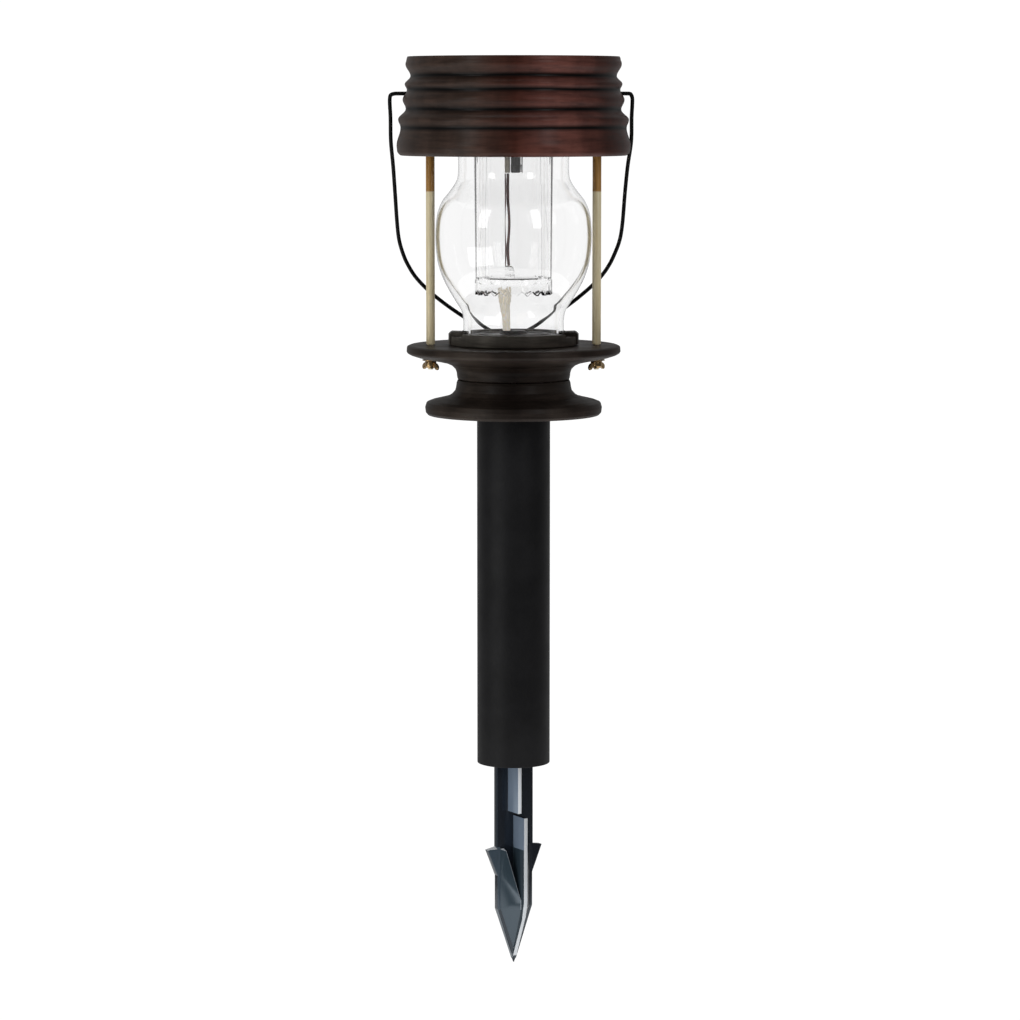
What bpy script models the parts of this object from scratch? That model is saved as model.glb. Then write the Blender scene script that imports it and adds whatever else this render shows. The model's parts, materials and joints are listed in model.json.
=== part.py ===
"""Solar garden torch: a lantern head with a bail handle, on a round post with a push-in ground spike.

The frame's origin is on the lantern's axis at the ground line, where the post's foot meets the soil.
+Z points up, X runs through the two tie rods and the bail's pivots, and -Y is the front.
Every size below is in millimetres. The helpers turn millimetres into Blender's metres.
"""

import math

import bmesh
import bpy
from mathutils import Matrix

MM = 0.001
GAP = 0.3                      # clearance between touching pieces
ROUND = 24                     # facets round a large turned piece
SMALL_ROUND = 16               # facets round a rod, a screw or a washer
OFF_GRID = math.radians(4.0)   # a small turn that keeps a cylinder's corners off its neighbours'

# Heights of the main faces
CAP_TOP = 338.6
CAP_BOTTOM = 292.0
FLOOR_BOTTOM = 294.0
FLOOR_TOP = 296.0
CUP_TOP = 303.0
BAIL_AXIS = 321.2
FLANGE_TOP = 202.0
SEAM = 185.4
FOOT_BOTTOM = 168.7
POST_TOP = FOOT_BOTTOM - GAP
TIP = -99.2

# Cap: crests and grooves down its outside, as radius and height
CAP_WAVES = (
    (50.7, 338.2), (51.2, 335.1), (48.9, 329.5), (51.6, 325.7), (50.6, 323.0), (52.6, 318.4),
    (51.1, 314.0), (54.7, 309.1), (53.6, 305.2), (55.5, 296.5), (54.4, 292.4),
)
CAP_MOUTH_RADIUS = 52.0
CAP_TOP_THICKNESS = 4.0
PANEL_SIDE = 62.0
PANEL_THICKNESS = 1.7
PANEL_LEDGE = 1.7              # plastic left under the panel's recess

# Tie rods and the screws that hold the cap's floor
ROD_X = 39.6
ROD_RADIUS = 2.1
THREAD_RADIUS = 1.5
SCREW_POSTS = ((38.1, 22.0), (-38.1, 22.0), (-38.1, -22.0), (38.1, -22.0))
SCREW_SHANK = 1.3
SCREW_HEAD = 2.6

# Glass globe: outside radius and height, from its upper rim to its lower rim
GLOBE_OUTSIDE = (
    (26.4, 299.3), (26.4, 283.0), (27.1, 280.2), (30.5, 275.4), (34.0, 271.2), (36.3, 265.2),
    (37.1, 256.6), (37.0, 249.0), (36.2, 240.9), (34.0, 234.4), (30.8, 228.0), (27.1, 222.0),
    (24.6, 217.6), (24.0, 213.5), (24.0, 204.8),
)
GLASS = 1.8

# Light guide, a clear tube with a floor
GUIDE_TOP_RADIUS = 19.2
GUIDE_FOOT_RADIUS = 18.1
GUIDE_BORE = 15.8
GUIDE_FOOT = 226.3
GUIDE_FLOOR = 233.7

# Base: outside radius and height of its two shells
FLANGE_RADIUS = 51.1
NECK_RADIUS = 27.2
FOOT_RADIUS = 42.3
BASE_BORE = 24.8
BASE_SCREW_CIRCLE = 20.5

# Bail
WIRE_RADIUS = 0.95
BAIL_LENGTH = 125.4            # from the pivots' axis to the middle of the bow
BAIL_REST = FLANGE_TOP + WIRE_RADIUS + GAP
BAIL_LEAN = math.acos((BAIL_AXIS - BAIL_REST) / BAIL_LENGTH)

# The bail's side: half width, drop below the pivots, and shift to the left, as it hangs askew
BAIL_SIDE = (
    (45.6, 0.0, 0.0), (49.0, 0.0, 0.0), (55.6, 0.0, -0.6), (57.0, 1.0, -1.2), (57.5, 3.4, -1.2),
    (57.3, 12.0, -1.2), (57.3, 24.0, -1.2), (56.1, 36.5, -1.5), (55.2, 50.0, -1.7),
    (54.3, 66.0, -1.8), (53.2, 75.0, -2.0), (50.8, 82.9, -2.3), (48.5, 88.1, -2.4),
    (45.3, 93.4, -2.6), (40.8, 98.7, -2.8), (35.3, 104.0, -2.9), (29.0, 109.3, -2.9),
    (22.0, 114.6, -2.8), (15.0, 119.3, -2.7), (8.5, 122.9, -2.6), (3.0, 125.0, -2.5),
    (0.0, BAIL_LENGTH, -2.5),
)

# Post, bush and spike
POST_RADIUS = 17.5
POST_BORE = 16.0
BUSH_BOTTOM = 0.6
BUSH_TOP = 30.0
TANG_TOP = 25.7
BLADE = 3.0                    # thickness of the spike's blades
SHANK = 10.1                   # half width of the main blade
FIN = 2.0                      # thickness of the fin and ribs that cross the main blade
FIN_REACH = 11.6
RIB_REACH = 10.9
RIB_OFFSET = 3.0               # each upper rib stands this far to one side of the middle
NOTCH_TOP = -23.6
NOTCH_BOTTOM = -25.9
BARB_TOP = -40.9
SHOULDER = -71.3
SPIKE_TURN = math.radians(31.0)

# Battery, switch and their compartment
BATTERY_Y = 37.0
BATTERY_Z = 302.4
BATTERY_RADIUS = 5.25
BATTERY_LENGTH = 44.5
DOOR_HINGE_Y = 43.6
DOOR_HINGE_Z = 294.9
SWITCH_AT = (-27.0, -30.0)

for old in list(bpy.data.objects):
    bpy.data.objects.remove(old, do_unlink=True)

PARTS = bpy.data.collections.new("solar_garden_torch")
CUTTERS = bpy.data.collections.new("cutters")
bpy.context.scene.collection.children.link(PARTS)
bpy.context.scene.collection.children.link(CUTTERS)


# ---------------------------------------------------------------- materials

def material(name, colour, roughness, metallic=0.0, clear=0.0):
    """One Principled material; clear makes it transmit light."""
    made = bpy.data.materials.new(name)
    made.use_nodes = True
    shader = made.node_tree.nodes["Principled BSDF"]
    shader.inputs["Base Color"].default_value = (*colour, 1.0)
    shader.inputs["Roughness"].default_value = roughness
    shader.inputs["Metallic"].default_value = metallic
    shader.inputs["Transmission Weight"].default_value = clear
    made.diffuse_color = (*colour, 1.0)
    return made


BRONZE = material("bronze_brown_plastic", (0.055, 0.022, 0.014), 0.45)
DARK_BRONZE = material("dark_brown_plastic", (0.022, 0.013, 0.010), 0.42)
BLACK = material("black_plastic", (0.015, 0.015, 0.016), 0.45)
POST_BLACK = material("black_post_paint", (0.016, 0.016, 0.018), 0.5)
SPIKE_BLACK = material("glossy_spike_plastic", (0.02, 0.024, 0.03), 0.3)
WIRE_BLACK = material("black_wire", (0.01, 0.01, 0.01), 0.4, metallic=0.3)
BRASS = material("brass", (0.62, 0.47, 0.22), 0.3, metallic=1.0)
STEEL = material("plated_steel", (0.62, 0.62, 0.6), 0.32, metallic=1.0)
CLEAR_GLASS = material("clear_glass", (0.96, 0.97, 0.97), 0.02, clear=1.0)
CLEAR_PLASTIC = material("clear_plastic", (0.95, 0.95, 0.95), 0.06, clear=1.0)
RUBBER = material("black_rubber", (0.02, 0.02, 0.02), 0.8)
CELL = material("solar_cell", (0.012, 0.016, 0.05), 0.15)
BOARD = material("circuit_board_green", (0.03, 0.16, 0.07), 0.5)
CELL_WRAP = material("battery_wrap", (0.05, 0.2, 0.12), 0.35)
COTTON = material("wick_cotton", (0.62, 0.52, 0.34), 0.95)
CREAM = material("cream_sleeve", (0.75, 0.68, 0.52), 0.6)
RED_WIRE = material("red_wire", (0.25, 0.03, 0.02), 0.5)
BLACK_WIRE = material("black_lead", (0.02, 0.02, 0.02), 0.5)


# ------------------------------------------------------------------ helpers

def place(name, mesh, finish, at=(0.0, 0.0, 0.0), turn=0.0):
    """Put a mesh in the parts collection, at a place in millimetres, turned about Z."""
    piece = bpy.data.objects.new(name, mesh)
    piece.location = [value * MM for value in at]
    piece.rotation_euler = (0.0, 0.0, turn)
    mesh.materials.append(finish)
    PARTS.objects.link(piece)
    return piece


def turned(name, outline, finish, at=(0.0, 0.0, 0.0), steps=ROUND, closed=False):
    """Turn an outline of (radius, height) about Z; it runs down the outer side."""
    mesh = bpy.data.meshes.new(name)
    count = len(outline)
    edges = [(i, i + 1) for i in range(count - 1)]
    if closed:
        edges.append((count - 1, 0))
    mesh.from_pydata([(r * MM, 0.0, z * MM) for r, z in outline], edges, [])
    piece = place(name, mesh, finish, at)
    screw = piece.modifiers.new("Turn", "SCREW")
    screw.axis = "Z"
    screw.steps = steps
    screw.render_steps = steps
    screw.use_smooth_shade = True
    screw.use_merge_vertices = True
    screw.merge_threshold = 0.00001
    return piece


def cylinder(name, radius, low, high, finish, at=(0.0, 0.0), steps=SMALL_ROUND, turn=OFF_GRID):
    """An upright cylinder between two heights, turned so its corners miss those it crosses."""
    shape = bmesh.new()
    bmesh.ops.create_cone(
        shape, cap_ends=True, segments=steps, radius1=radius * MM, radius2=radius * MM,
        depth=(high - low) * MM,
    )
    mesh = bpy.data.meshes.new(name)
    shape.to_mesh(mesh)
    shape.free()
    return place(name, mesh, finish, (at[0], at[1], (low + high) / 2.0), turn)


def box(name, low, high, finish, turn=0.0):
    """A box between two corners, turned about the Z axis through its middle."""
    shape = bmesh.new()
    bmesh.ops.create_cube(shape, size=1.0)
    size = [(b - a) * MM for a, b in zip(low, high)]
    bmesh.ops.scale(shape, vec=size, verts=shape.verts)
    mesh = bpy.data.meshes.new(name)
    shape.to_mesh(mesh)
    shape.free()
    middle = [(a + b) / 2.0 for a, b in zip(low, high)]
    return place(name, mesh, finish, middle, turn)


def wire(name, points, radius, finish, sides=2, radii=None):
    """A round wire through points, a POLY curve with filled ends."""
    curve = bpy.data.curves.new(name, "CURVE")
    curve.dimensions = "3D"
    curve.bevel_depth = radius * MM
    curve.bevel_resolution = sides
    curve.use_fill_caps = True
    spline = curve.splines.new("POLY")
    spline.points.add(len(points) - 1)
    for i, (x, y, z) in enumerate(points):
        spline.points[i].co = (x * MM, y * MM, z * MM, 1.0)
        if radii:
            spline.points[i].radius = radii[i]
    curve.materials.append(finish)
    piece = bpy.data.objects.new(name, curve)
    PARTS.objects.link(piece)
    return piece


def plate(name, outline, thickness, finish):
    """A flat outline of (x, z) points, upright in the XZ plane, of a given thickness in Y."""
    shape = bmesh.new()
    corners = [shape.verts.new((x * MM, -thickness * MM / 2.0, z * MM)) for x, z in outline]
    face = shape.faces.new(corners)
    grown = bmesh.ops.extrude_face_region(shape, geom=[face])["geom"]
    moved = [item for item in grown if isinstance(item, bmesh.types.BMVert)]
    bmesh.ops.translate(shape, vec=(0.0, thickness * MM, 0.0), verts=moved)
    bmesh.ops.recalc_face_normals(shape, faces=shape.faces)
    mesh = bpy.data.meshes.new(name)
    shape.to_mesh(mesh)
    shape.free()
    return place(name, mesh, finish)


def work(target, tool, operation):
    """Cut a tool out of a piece, or join it on, and put the tool with the cutters."""
    change = target.modifiers.new(operation.title(), "BOOLEAN")
    change.operation = operation
    change.solver = "EXACT"
    change.object = tool
    tool.display_type = "WIRE"
    tool.hide_render = True
    PARTS.objects.unlink(tool)
    CUTTERS.objects.link(tool)


def cut(target, tool):
    work(target, tool, "DIFFERENCE")


def join(target, tool):
    work(target, tool, "UNION")


def waves(keys, steps):
    """Soften straight runs between crests and grooves into half waves."""
    outline = []
    for (r0, z0), (r1, z1) in zip(keys, keys[1:]):
        for i in range(steps):
            part = i / steps
            ease = (1.0 - math.cos(math.pi * part)) / 2.0
            outline.append((r0 + (r1 - r0) * ease, z0 + (z1 - z0) * part))
    outline.append(keys[-1])
    return outline


def smooth_path(points, steps):
    """A Catmull-Rom curve through points."""
    ends = [points[0]] + list(points) + [points[-1]]
    path = []
    for i in range(1, len(ends) - 2):
        a, b, c, d = ends[i - 1:i + 3]
        for k in range(steps):
            t = k / steps
            path.append(tuple(
                0.5 * (2 * q + (r - p) * t + (2 * p - 5 * q + 4 * r - s) * t * t
                       + (3 * q - p - 3 * r + s) * t ** 3)
                for p, q, r, s in zip(a, b, c, d)
            ))
    path.append(points[-1])
    return path


def screw_piece(name, x, y, head_bottom, head_top, tip, head_radius=SCREW_HEAD,
                shank=SCREW_SHANK, finish=STEEL):
    """A pan-head screw put in from below: the head is under head_top, the shank above it."""
    outline = (
        (0.0, tip), (shank * 0.5, tip), (shank, tip - 1.2), (shank, head_top),
        (head_radius, head_top), (head_radius, head_bottom + 0.5),
        (head_radius - 0.6, head_bottom), (0.0, head_bottom),
    )
    return turned(name, outline, finish, (x, y, 0.0), SMALL_ROUND - 4)


# ------------------------------------------------------------- cap and panel

def make_cap():
    """Ribbed cap: one moulded shell with a recessed top for the panel and four screw posts."""
    inner_top = CAP_TOP - CAP_TOP_THICKNESS
    outline = [(0.0, CAP_TOP), (50.0, CAP_TOP)]
    outline += waves(CAP_WAVES, 2)
    outline += [
        (53.8, CAP_BOTTOM), (CAP_MOUTH_RADIUS, CAP_BOTTOM), (CAP_MOUTH_RADIUS, 302.5),
        (51.0, 306.0), (48.8, 310.0), (48.8, 327.0), (46.4, 330.0), (46.4, inner_top),
        (0.0, inner_top),
    ]
    cap = turned("cap_shell", outline, BRONZE, steps=ROUND + 4)
    for i, (x, y) in enumerate(SCREW_POSTS):
        join(cap, cylinder(f"cap_post_{i}", 3.25, FLOOR_TOP + GAP, inner_top + 0.6, BRONZE, (x, y)))
    for i, (x, y) in enumerate(SCREW_POSTS):
        hole = cylinder(f"cap_post_hole_{i}", SCREW_SHANK + GAP, FLOOR_TOP - 1.0, 308.0, BRONZE,
                        (x, y), 12)
        cut(cap, hole)
    side = PANEL_SIDE / 2.0 + GAP
    ledge = inner_top + PANEL_LEDGE
    cut(cap, box("panel_recess", (-side, -side, ledge), (side, side, CAP_TOP + 2.0), BRONZE))
    cut(cap, cylinder("panel_lead_hole", 2.5, inner_top - 1.0, ledge + 1.0, BRONZE, steps=12))
    pivot = cylinder("bail_hole", WIRE_RADIUS + GAP, -60.0, 60.0, BRONZE, steps=12)
    pivot.location = (0.0, 0.0, BAIL_AXIS * MM)
    pivot.rotation_euler = (0.0, math.pi / 2.0, 0.0)
    cut(cap, pivot)
    return ledge


def make_panel(ledge):
    half = PANEL_SIDE / 2.0
    low = (-half, -half, ledge + GAP)
    high = (half, half, ledge + GAP + PANEL_THICKNESS)
    box("solar_panel", low, high, CELL)


def make_cap_floor():
    """The cap's floor: a disc with an upturned cup for the globe's rim."""
    outline = [
        (29.5, FLOOR_TOP), (CAP_MOUTH_RADIUS - 2.0 * GAP, FLOOR_TOP),
        (CAP_MOUTH_RADIUS - 2.0 * GAP, FLOOR_BOTTOM), (27.3, FLOOR_BOTTOM), (27.3, CUP_TOP - 2.0),
        (GUIDE_TOP_RADIUS + 0.4, CUP_TOP - 2.0), (GUIDE_TOP_RADIUS + 0.4, CUP_TOP),
        (29.5, CUP_TOP),
    ]
    floor = turned("cap_floor", outline, BLACK, closed=True)
    under = FLOOR_BOTTOM - 1.0
    over = FLOOR_TOP + 1.0
    for side in (-1, 1):
        wall_in = side * 25.6
        wall_out = side * 27.1
        low = (min(wall_in, wall_out), 32.0, FLOOR_TOP - 0.5)
        high = (max(wall_in, wall_out), 42.4, 306.5)
        join(floor, box(f"battery_wall_{side}", low, high, BLACK))
        join(floor, cylinder(f"board_post_{side}", 1.8, FLOOR_TOP - 0.5, 298.7, BLACK,
                             (side * 11.0, -38.5), 12))
    for i, (x, y) in enumerate(SCREW_POSTS):
        cut(floor, cylinder(f"floor_hole_{i}", SCREW_SHANK + GAP, under, over, BLACK, (x, y), 12))
    for side in (-1, 1):
        cut(floor, cylinder(f"rod_hole_{side}", THREAD_RADIUS + GAP, under, over, BLACK,
                            (side * ROD_X, 0.0), 12))
        cut(floor, cylinder(f"plate_hole_{side}", 1.4, CUP_TOP - 3.0, CUP_TOP + 1.0, BLACK,
                            (0.0, side * 25.2), 10))
    cut(floor, box("battery_hole", (-25.3, 30.9, under), (25.3, 43.5, over), BLACK))
    cut(floor, box("door_tab_hole", (-9.4, 42.0, under), (9.4, 44.9, over), BLACK))
    cut(floor, cylinder("button_hole", 3.1, under, over, BLACK, SWITCH_AT))


def make_cap_screws():
    for i, (x, y) in enumerate(SCREW_POSTS):
        screw_piece(f"cap_screw_{i + 1}", x, y, FLOOR_BOTTOM - 1.8, FLOOR_BOTTOM - GAP, 306.0)


# ------------------------------------------------------------- electrical parts

def make_battery():
    """One rechargeable cell, lying along X behind the globe's cup."""
    half = BATTERY_LENGTH / 2.0
    outline = (
        (0.0, half), (2.0, half), (2.0, half - 1.0), (4.9, half - 1.0),
        (BATTERY_RADIUS, half - 1.4), (BATTERY_RADIUS, -half + 0.4), (4.85, -half), (0.0, -half),
    )
    cell = turned("battery", outline, CELL_WRAP, (1.3, BATTERY_Y, BATTERY_Z), SMALL_ROUND)
    cell.rotation_euler = (0.0, math.pi / 2.0, 0.0)


def make_contacts():
    """A coil at the cell's flat end and a plate at its button."""
    turns = 3.0
    steps = 36
    coil = []
    for i in range(steps + 1):
        part = i / steps
        angle = part * turns * 2.0 * math.pi
        radius = 3.9 - 1.4 * part
        coil.append((
            -24.9 + 3.2 * part, BATTERY_Y + radius * math.cos(angle),
            BATTERY_Z + radius * math.sin(angle),
        ))
    wire("contact_spring", coil, 0.3, STEEL, sides=1)
    low = (24.3, BATTERY_Y - 4.2, BATTERY_Z - 4.2)
    high = (24.8, BATTERY_Y + 4.2, BATTERY_Z + 4.2)
    box("contact_plate", low, high, STEEL)


def make_battery_door():
    """A flap under the cell, with a hinge barrel along X on its outer side."""
    top = FLOOR_BOTTOM + 1.4
    door = box("battery_door", (-25.0, 31.2, FLOOR_BOTTOM), (25.0, 42.6, top), BLACK)
    join(door, box("door_tab", (-9.1, 42.0, FLOOR_BOTTOM + 0.3), (9.1, DOOR_HINGE_Y, top), BLACK))
    barrel = cylinder("door_barrel", 0.9, -9.1, 9.1, BLACK, steps=12)
    barrel.location = (0.0, DOOR_HINGE_Y * MM, DOOR_HINGE_Z * MM)
    barrel.rotation_euler = (0.0, math.pi / 2.0, 0.0)
    join(door, barrel)
    move_origin(door, (0.0, DOOR_HINGE_Y, DOOR_HINGE_Z))


def move_origin(piece, point):
    """Put a piece's origin at a point without moving its mesh."""
    target = [value * MM for value in point]
    shift = Matrix.Translation([a - b for a, b in zip(piece.location, target)])
    piece.data.transform(shift)
    piece.location = target


def make_switch():
    """A push switch on the cap's floor; its button passes down through the floor."""
    x, y = SWITCH_AT
    half = 4.2
    low = (x - half, y - half, FLOOR_TOP + GAP)
    high = (x + half, y + half, 304.0)
    body = box("switch_body", low, high, BLACK, turn=math.radians(48.0))
    cut(body, cylinder("switch_bore", 3.1, FLOOR_TOP - 1.0, 301.5, BLACK, SWITCH_AT))
    outline = ((0.0, 299.8), (2.8, 299.8), (2.8, 292.6), (2.3, 292.2), (0.0, 292.2))
    turned("switch_button", outline, RUBBER, (x, y, 0.0), SMALL_ROUND)


def make_board():
    """The charge and lamp driver board, on two posts of the floor, with its larger components."""
    board = box("circuit_board", (-15.0, -45.2, 299.0), (15.0, -31.8, 300.4), BOARD)
    join(board, box("driver_chip", (-3.0, -41.5, 300.0), (3.0, -37.0, 301.9), BOARD))
    join(board, cylinder("choke", 2.4, 300.0, 304.2, BOARD, (9.0, -37.0), 12))
    join(board, box("lead_block", (-12.5, -44.0, 300.0), (-7.0, -40.0, 302.6), BOARD))


def make_leads():
    """Leads inside the cap, from the panel, the cell and the lamp to the board."""
    wire("panel_lead", smooth_path((
        (0.0, 0.0, 335.9), (0.0, -1.5, 331.0), (1.5, -12.0, 320.0), (4.5, -27.0, 311.0),
        (4.5, -34.5, 305.0), (4.5, -35.2, 300.9),
    ), 3), 0.7, RED_WIRE, sides=1)
    wire("lamp_feed_lead", smooth_path((
        (-2.2, 0.0, 308.4), (-2.4, -3.5, 312.0), (-5.0, -16.0, 313.0), (-8.0, -30.0, 309.0),
        (-8.0, -35.5, 304.0), (-8.0, -36.0, 300.9),
    ), 3), 0.6, BLACK_WIRE, sides=1)
    for side, name, finish in ((-1, "battery_lead_minus", BLACK_WIRE),
                               (1, "battery_lead_plus", RED_WIRE)):
        route = [(side * 29.0, 35.0, 303.0), (side * 30.5, 30.0, 308.5)]
        for degrees in (25.0, 0.0, -25.0):
            angle = math.radians(degrees)
            route.append((side * 36.5 * math.cos(angle), 36.5 * math.sin(angle), 311.0))
        route += [(side * 22.0, -31.5, 309.0), (side * 13.2, -34.5, 304.0),
                  (side * 12.5, -34.5, 300.9)]
        wire(name, smooth_path(route, 3), 0.6, finish, sides=1)


def make_lamp():
    """The lamp hangs on its stem and lead inside the light guide."""
    outline = (
        (0.0, 306.6), (28.5, 306.6), (28.5, CUP_TOP + GAP), (23.0, CUP_TOP + GAP),
        (23.0, 305.1), (0.0, 305.1),
    )
    holder = turned("lamp_plate", outline, BLACK, steps=ROUND - 4)
    cut(holder, cylinder("sleeve_hole", 1.1, 304.0, 308.0, BLACK, (-2.2, 0.0), 10))
    for side in (-1, 1):
        cut(holder, cylinder(f"plate_screw_hole_{side}", 1.4, 302.0, 308.0, BLACK,
                             (0.0, side * 25.2), 10))
        screw = (
            (0.0, 308.3), (1.6, 308.3), (2.1, 307.8), (2.1, 306.9), (1.1, 306.9), (1.1, 302.0),
            (0.5, 301.3), (0.0, 301.3),
        )
        end = "front" if side < 0 else "back"
        turned(f"lamp_plate_screw_{end}", screw, STEEL, (0.0, side * 25.2, 0.0), 12)
    stem = ((0.0, 304.8), (1.9, 304.8), (1.9, 284.4), (1.5, 283.9), (0.0, 283.9))
    turned("lamp_stem", stem, BLACK, (0.8, 0.0, 0.0), SMALL_ROUND)
    sleeve = ((0.0, 307.6), (0.8, 307.6), (0.8, 283.9), (0.0, 283.9))
    turned("lamp_sleeve", sleeve, CREAM, (-2.2, 0.0, 0.0), 12)
    wire("lamp_lead", smooth_path((
        (-2.2, 0.0, 283.5), (-2.2, 0.0, 272.0), (-1.7, 0.2, 260.0), (-2.2, 0.0, 248.0),
        (-1.9, 0.0, 240.4),
    ), 3), 0.5, RED_WIRE, sides=1)
    bead = ((0.0, 240.0), (1.2, 239.6), (2.0, 238.4), (2.2, 237.0), (2.2, 235.2), (2.6, 235.2),
            (2.6, 234.1), (0.0, 234.1))
    turned("lamp_bead", bead, CREAM, (-1.9, 0.0, 0.0), SMALL_ROUND)


def make_light_guide():
    """A clear tube with a floor, hung by its flange on the cap floor's cup."""
    outline = (
        (0.0, GUIDE_FLOOR), (GUIDE_BORE, GUIDE_FLOOR), (GUIDE_BORE, 304.8), (22.6, 304.8),
        (22.6, CUP_TOP + GAP), (GUIDE_TOP_RADIUS, CUP_TOP + GAP), (GUIDE_FOOT_RADIUS, GUIDE_FOOT),
        (16.2, GUIDE_FOOT), (16.2, 231.7), (0.0, 231.7),
    )
    turned("light_guide", outline, CLEAR_PLASTIC, steps=ROUND - 4)


# ------------------------------------------------------------------- lantern

def make_globe():
    """The glass globe, an outer surface thickened inwards, with a seal ring at each end."""
    globe = turned("globe", GLOBE_OUTSIDE, CLEAR_GLASS)
    shell = globe.modifiers.new("Glass", "SOLIDIFY")
    shell.thickness = GLASS * MM
    shell.offset = -1.0
    shell.use_even_offset = True
    turned("globe_seal_top", (
        (24.4, CUP_TOP - 2.3), (26.8, CUP_TOP - 2.3), (26.8, 299.6), (24.4, 299.6),
    ), RUBBER, steps=ROUND - 4, closed=True)
    turned("globe_seal_bottom", (
        (21.9, 204.5), (24.1, 204.5), (24.1, 203.6), (21.9, 203.6),
    ), RUBBER, steps=ROUND - 4, closed=True)


def make_tie_rods():
    """Two brass rods clamp the globe between the cap's floor and the base."""
    outline = (
        (0.0, 300.0), (THREAD_RADIUS, 300.0), (THREAD_RADIUS, FLOOR_BOTTOM - GAP),
        (ROD_RADIUS, FLOOR_BOTTOM - GAP), (ROD_RADIUS, FLANGE_TOP + GAP),
        (THREAD_RADIUS, FLANGE_TOP + GAP), (THREAD_RADIUS, 190.3), (0.0, 190.3),
    )
    for side, end in ((-1, "left"), (1, "right")):
        at = (side * ROD_X, 0.0)
        turned(f"tie_rod_{end}", outline, BRASS, (*at, 0.0), SMALL_ROUND)
        nut = cylinder(f"rod_nut_{end}", 3.15, FLOOR_TOP + GAP, 298.7, STEEL, at, 6)
        cut(nut, cylinder(f"nut_hole_{end}", THREAD_RADIUS + GAP, 292.0, 302.0, STEEL, at))


def make_wing_nuts():
    """A washer and a wing nut under the flange on each rod."""
    top = 194.2
    for side, end in ((-1, "left"), (1, "right")):
        at = (side * ROD_X, 0.0)
        turned(f"rod_washer_{end}", (
            (THREAD_RADIUS + GAP, 195.0), (4.0, 195.0), (4.0, 194.5),
            (THREAD_RADIUS + GAP, 194.5),
        ), BRASS, (*at, 0.0), SMALL_ROUND, closed=True)
        nut = cylinder(f"wing_nut_{end}", 2.75, 191.0, top, BRASS, at)
        for wing in (-1, 1):
            shape = plate(f"wing_{end}_{wing}", (
                (1.9 * wing, top - 0.4), (3.8 * wing, top - 0.6), (6.0 * wing, top - 1.4),
                (6.2 * wing, 190.8), (5.0 * wing, 190.1), (3.4 * wing, 191.3), (1.9 * wing, 191.4),
            ), 1.1, BRASS)
            shape.location = (at[0] * MM, 0.0, 0.0)
            shape.rotation_euler = (0.0, 0.0, side * math.radians(52.0))
            join(nut, shape)
        cut(nut, cylinder(f"wing_hole_{end}", THREAD_RADIUS + GAP, 188.7, 195.7, BRASS, at))


def make_globe_holder():
    """The collar round the globe's lower rim: four slots leave two walls and two hooked prongs."""
    holder = turned("globe_holder", (
        (24.6, 208.0), (30.5, 208.0), (30.5, FLANGE_TOP + GAP), (21.6, FLANGE_TOP + GAP),
        (21.6, 203.3), (24.6, 203.3),
    ), DARK_BRONZE, closed=True)
    for side in (-1, 1):
        low = (min(side * 24.8, side * 31.0), -5.0, 206.0)
        high = (max(side * 24.8, side * 31.0), 5.0, 208.5)
        join(holder, box(f"prong_{side}", low, high, DARK_BRONZE))
    slot_angles = [math.radians(degrees) for degrees in (63.5, 116.5, 243.5, 296.5)]
    for i, angle in enumerate(slot_angles):
        x = 28.0 * math.sin(angle)
        y = -28.0 * math.cos(angle)
        slot = box(f"collar_slot_{i}", (x - 5.5, y - 4.6, 206.4), (x + 5.5, y + 4.6, 210.0),
                   DARK_BRONZE, turn=angle + math.pi / 2.0)
        cut(holder, slot)


def make_burner():
    """A raised burner plate inside the collar, with the wick standing in its hole."""
    burner = turned("burner_plate", (
        (0.0, 209.0), (6.5, 209.0), (7.5, 207.2), (20.9, 207.2), (20.9, FLANGE_TOP + GAP),
        (18.9, FLANGE_TOP + GAP), (18.9, 205.5), (0.0, 205.5),
    ), DARK_BRONZE, steps=ROUND - 4)
    cut(burner, cylinder("wick_hole", 2.7, 204.0, 210.0, DARK_BRONZE, (-3.3, 0.0)))
    route = ((-3.3, 0.0, 203.0), (-3.3, 0.0, 210.0), (-3.5, 0.0, 215.0), (-3.9, 0.0, 220.0),
             (-4.3, 0.0, 225.0), (-4.6, 0.0, 229.0))
    wire("wick", route, 2.25, COTTON, sides=3, radii=(1.0, 1.0, 1.05, 1.15, 1.4, 1.55))


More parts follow.
